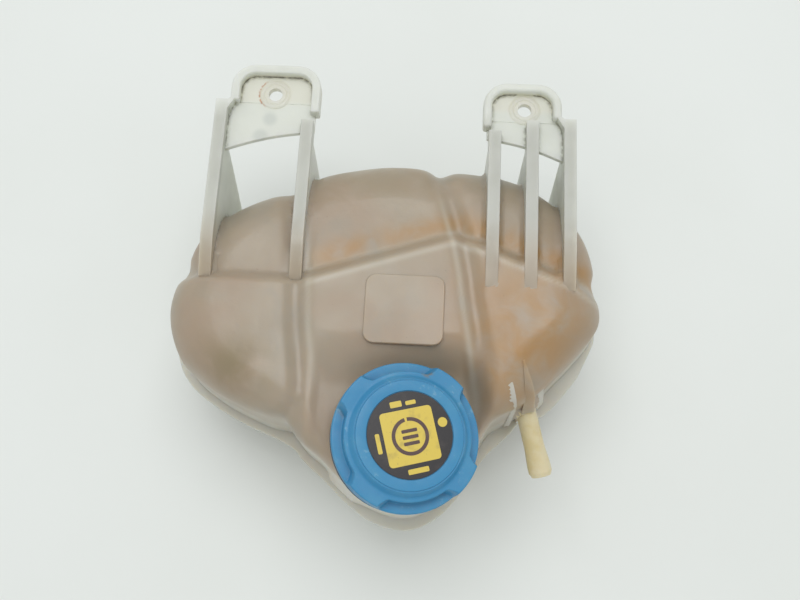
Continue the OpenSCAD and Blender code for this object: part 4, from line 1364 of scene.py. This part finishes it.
@dataclass
class Cap:
    """The blue knob with its label."""

    neck: FillerNeck = field(default_factory=FillerNeck)
    outer_r: float = 33.0
    shoulder_r: float = 28.2
    skirt_r: float = 32.2
    label_r: float = 18.8
    low_rim: float = -1.0
    shoulder: float = 4.6
    skirt: float = -12.5
    steps: int = 576
    knurl: float = 0.16
    wings: tuple[float, ...] = (56.5, 145.0, 236.5, 328.0)
    label_turn: float = 15.5

    def wing(self, degrees: float, radius: float) -> float:
        """Return how far a place belongs to a grip wing, whose flanks flare inwards."""
        inward = clamp((self.outer_r - radius) / (self.outer_r - self.shoulder_r))
        half = 14.3 + 6.0 * inward**1.8
        nearest = min(abs((degrees - wing + 180) % 360 - 180) for wing in self.wings)
        return smooth(half + 2.2, half - 2.2, nearest)

    def section(self) -> list[Point2]:
        """Return the knob's section, from the middle of its top to the middle of its ceiling."""
        return rounded([
            (0, 7.5, 0), (self.label_r + 0.3, 7.5, 0.1), (self.label_r + 0.3, 8.0, 0.2), (23.6, 8.0, 0.25),
            (23.85, 7.4, 0), (24.15, 7.4, 0), (24.4, 7.6, 0.3), (26.3, 4.6, 1.4), (self.shoulder_r, self.shoulder, 0.6),
            (self.shoulder_r, self.low_rim, 0.7), *((28.9 + k * 0.47, self.low_rim, 0) for k in range(1, 7)),
            (self.outer_r, self.low_rim, 0.8), (self.outer_r, -1.95, 0),
            (self.outer_r, -2.2, 0), (self.outer_r, -3.5, 0.4), (self.skirt_r, -3.5, 0.2), (self.skirt_r, -4.0, 0),
            (self.skirt_r, -12.0, 0), (self.skirt_r, self.skirt, 0.3), (28.8, self.skirt, 0.3),
            (28.8, -3.3, 0), (26.2, -3.3, 0), (26.2, 2.8, 0), (22.0, 2.8, 0), (22.0, 5.5, 0), (9.9, 5.5, 0),
            (9.9, 2.8, 0), (7.9, 2.8, 0), (7.9, -0.3, 0), (6.9, -0.3, 0), (6.9, -1.5, 0), (7.9, -1.5, 0),
            (7.9, -2.4, 0), (5.3, -2.4, 0), (5.3, 5.5, 0), (0, 5.5, 0),
        ])

    def shape(self, obj: bpy.types.Object) -> None:
        """Raise the wings out of the low rim and press the knurl into the skirt."""
        rise = self.shoulder - self.low_rim
        for vertex in obj.data.vertices:
            x, y, z = vertex.co / MM
            radius, degrees = math.hypot(x, y), math.degrees(math.atan2(y, x)) % 360
            if radius > self.shoulder_r - 0.7 and -2.0 < z < self.shoulder + 0.01:
                lift = self.shoulder - z if radius < self.shoulder_r + 0.8 else rise
                vertex.co.z = (z + lift * self.wing(degrees, radius)) * MM
            elif self.skirt_r - 0.1 < radius < self.skirt_r + 0.1 and -12.1 < z < -3.9:
                tooth = round(degrees / 360 * self.steps) % 2
                shrink = (radius - self.knurl * 2 * tooth) / radius
                vertex.co.x *= shrink
                vertex.co.y *= shrink
        obj.data.update()

    def build_knob(self) -> bpy.types.Object:
        """Return the knob."""
        knob = revolve("cap_knob_moulding", self.section(), self.steps)
        self.shape(knob)
        tidy_normals(knob)
        knob.data.transform(self.neck.place)
        ridge = [(29.3, -1.1), (27.3, -0.55), (27.0, -0.3), (27.0, 0.3), (27.3, 0.55), (29.3, 1.1)]
        section = [(r, h + self.neck.thread_z) for r, h in ridge]
        thread = helix("cap_thread", section, self.neck.pitch, 1.25, 180.0, 72, self.neck.place)
        combine(knob, [thread], Join.ADD)
        soften(knob, 30)
        return knob

    def art(self, name: str, shapes: Sequence[Sequence[Point2]], low: float, high: float) -> bpy.types.Object:
        """Return flat shapes of print as one thin piece."""
        turn = self.neck.place @ Matrix.Rotation(math.radians(self.label_turn), 4, "Z")
        return joined(name, [prism(f"{name}_{k}", s, low, high, turn) for k, s in enumerate(shapes)])

    def build_label(self) -> list[tuple[bpy.types.Object, bpy.types.Material]]:
        """Return the label's printed pieces with their inks."""
        yellow = [
            rounded_box(23.2, 23.4, 1.7, 0, -0.6),
            rounded_box(5.2, 2.6, 0.5, -3.4, 13.9), rounded_box(4.6, 1.8, 0.5, 3.2, 13.6),
            rounded_box(1.9, 8.6, 0.5, -14.2, -1.2), rounded_box(9.2, 2.2, 0.5, 0.4, -15.4),
            arc(15.2, 2.6, 2.1, 0, 345, 23),
        ]
        black = [
            [*arc(0, -0.6, 8.2, 90, -262, 44), *arc(0, -0.6, 6.6, -262, 90, 44)],
            *(rounded_box(7.0, 1.5, 0.4, 0, y) for y in (1.8, -0.9, -3.6)),
        ]
        inks = (
            PrintedFoil("printed_foil_yellow", "#d2ba4c", "#9c8a4c", 0.5).build(),
            PrintedFoil("printed_foil_brown", "#4a3230", "#6b5140", 0.4).build(),
        )
        disc = prism("label_disc", arc(0, 0, self.label_r, 0, 357.5, 143), 7.52, 7.8, self.neck.place, bevel=0.08)
        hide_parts("cap_label")
        return [
            (disc, PrintedFoil("printed_foil_black", "#1f1a1e", "#3f3836", 0.5).build()),
            (self.art("label_panel", yellow, 7.78, 7.86), inks[0]),
            (self.art("label_marks", black, 7.84, 7.92), inks[1]),
        ]

    def build(self) -> None:
        """Build, dress and place the cap's pieces."""
        knob = self.build_knob()
        dress(knob, [CapPlastic().build()])
        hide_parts("cap_knob")
        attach(knob, "cap")
        log.info("%s: %d faces", knob.name, len(knob.data.polygons))
        for piece, ink in self.build_label():
            dress(piece, [ink])
            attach(piece, "cap")
            log.info("%s: %d faces", piece.name, len(piece.data.polygons))


# ---- Pieces carried over from the frame


@dataclass(frozen=True)
class ValveParts:
    """Finishes of the cartridge's parts, whose solids are already right."""

    def plastic(self) -> bpy.types.Material:
        """Black nylon, moulded: satin with a faint mould grain."""
        made = Finish("moulded_nylon_black", "#26272a")
        made.layer(made.noise(6, 0.45, 0.7, detail=3.0), "#3a3b3d", 0.6)
        return made.finish([(made.noise(0.5, 0.2, 0.8), 0.01)], 0.48, IOR=1.53)

    def rubber(self) -> bpy.types.Material:
        """Nitrile rubber, moulded: dull black with a bloom."""
        made = Finish("nitrile_rubber", "#1b1b1c")
        made.layer(made.noise(4, 0.5, 0.75, detail=3.0), "#353433", 0.6)
        return made.finish([(made.noise(0.4, 0.2, 0.8), 0.01)], 0.72)

    def brass(self) -> bpy.types.Material:
        """Brass sheet, stamped: bright, with brown tarnish in patches."""
        made = Finish("stamped_brass", "#d9b36a")
        made.layer(made.noise(3, 0.45, 0.7, detail=4.0), "#9b7a45", 0.6)
        return made.finish([(made.noise(0.3, 0.2, 0.8), 0.004)], made.noise(2, -0.6, 2.2), Metallic=1.0)

    def steel(self) -> bpy.types.Material:
        """Spring steel wire, drawn: bright, with fine lines and light rust."""
        made = Finish("drawn_spring_steel", "#b8b9ba")
        made.layer(made.noise(1.5, 0.58, 0.75, detail=4.0), "#8a6f58", 0.5)
        return made.finish([(made.noise(0.2, 0.2, 0.8), 0.003)], 0.32, Metallic=1.0)

    def dress(self, nodes: dict[str, bpy.types.Object]) -> None:
        """Give each node that stays its finish."""
        finishes = {
            "plastic": (self.plastic(), ("cartridge_housing", "spring_retainer")),
            "rubber": (self.rubber(), ("cartridge_o_ring", "pressure_seal", "vacuum_seal")),
            "brass": (self.brass(), ("pressure_valve", "vacuum_valve")),
            "steel": (self.steel(), ("pressure_spring", "vacuum_spring", "vacuum_clip", "cap_clip")),
        }
        for kind, (material, names) in finishes.items():
            for name in names:
                dress(nodes[name], [material])
                log.info("%s: carried over in %s", name, kind)


# ---- Studio


@dataclass
class Studio:
    """Pale table, soft light from above and behind, and the photograph's camera."""

    eye: tuple[float, float, float] = (0.016469, -0.104813, 0.506315)
    right: tuple[float, float, float] = (0.99856, 0.05112, -0.01623)
    up: tuple[float, float, float] = (-0.04488, 0.96217, 0.26872)
    back: tuple[float, float, float] = (0.02935, -0.26760, 0.96308)
    focal_px: float = 890.0
    width_px: float = 800.0
    sensor_mm: float = 36.0
    table: str = "#e1e5e3"

    def build_camera(self) -> None:
        """Place the camera at the photograph's angle."""
        data = bpy.data.cameras.new("camera")
        data.sensor_width = self.sensor_mm
        data.lens = self.focal_px / self.width_px * self.sensor_mm
        camera = bpy.data.objects.new("camera", data)
        bpy.context.scene.collection.objects.link(camera)
        axes = Matrix((self.right, self.up, self.back)).transposed().to_4x4()
        camera.matrix_world = Matrix.Translation(self.eye) @ axes
        bpy.context.scene.camera = camera

    def build_table(self) -> None:
        """Lay the table that the tank stands on."""
        alone()
        bpy.ops.mesh.primitive_circle_add(vertices=96, radius=6.0, fill_type="NGON")
        table = named(bpy.context.object, "table_top")
        made = Finish("laminate_table", self.table)
        made.layer(made.noise(160, 0.35, 0.7, detail=3.0), "#dde1de", 0.5)
        table.data.materials.append(made.finish((), 0.6))

    def build_lights(self) -> None:
        """Hang the lamps and fill the room with light."""
        for name, place, size, power, target in (
            ("window", (-0.03, 0.42, 1.6), (1.2, 0.8), 10.5, (0.0, 0.0, 0.05)),
            ("fill", (-0.3, -1.3, 1.5), (1.6, 1.2), 2.0, (0.0, 0.0, 0.05)),
        ):
            data = bpy.data.lights.new(name, "AREA")
            data.shape, data.size, data.size_y, data.energy = "RECTANGLE", *size, power
            lamp = bpy.data.objects.new(name, data)
            bpy.context.scene.collection.objects.link(lamp)
            lamp.location = place
            lamp.rotation_euler = (Vector(place) - Vector(target)).to_track_quat("Z", "Y").to_euler()
        world = bpy.data.worlds.new("room")
        bpy.context.scene.world = world
        world.use_nodes = True
        tree = world.node_tree
        tree.nodes.clear()
        rays = add_node(tree, "ShaderNodeLightPath")
        seen = add_node(tree, "ShaderNodeMath", {0: rays.outputs["Is Camera Ray"], 1: rays.outputs["Is Glossy Ray"]},
                        operation="MAXIMUM")
        seen = add_node(tree, "ShaderNodeMath", {0: seen.outputs[0], 1: rays.outputs["Is Transmission Ray"]},
                        operation="MAXIMUM")
        light = add_node(tree, "ShaderNodeBackground", {"Color": colour("#f2f3f1"), "Strength": 0.76})
        shown = add_node(tree, "ShaderNodeBackground", {"Color": colour(self.table), "Strength": 1.0})
        both = add_node(tree, "ShaderNodeMixShader", {0: seen.outputs[0], 1: light.outputs[0], 2: shown.outputs[0]})
        add_node(tree, "ShaderNodeOutputWorld", {"Surface": both.outputs[0]})

    def build(self) -> None:
        """Set up the whole studio."""
        bpy.context.scene.view_settings.view_transform = "Standard"
        self.build_camera()
        self.build_table()
        self.build_lights()


def main() -> None:
    """Build the scene in order."""
    logging.basicConfig(level=logging.INFO, format="%(name)s: %(message)s")
    Studio().build()
    Tank().build()
    Cap().build()
    ValveParts().dress(frame["nodes"])


if __name__ == "__main__":
    main()
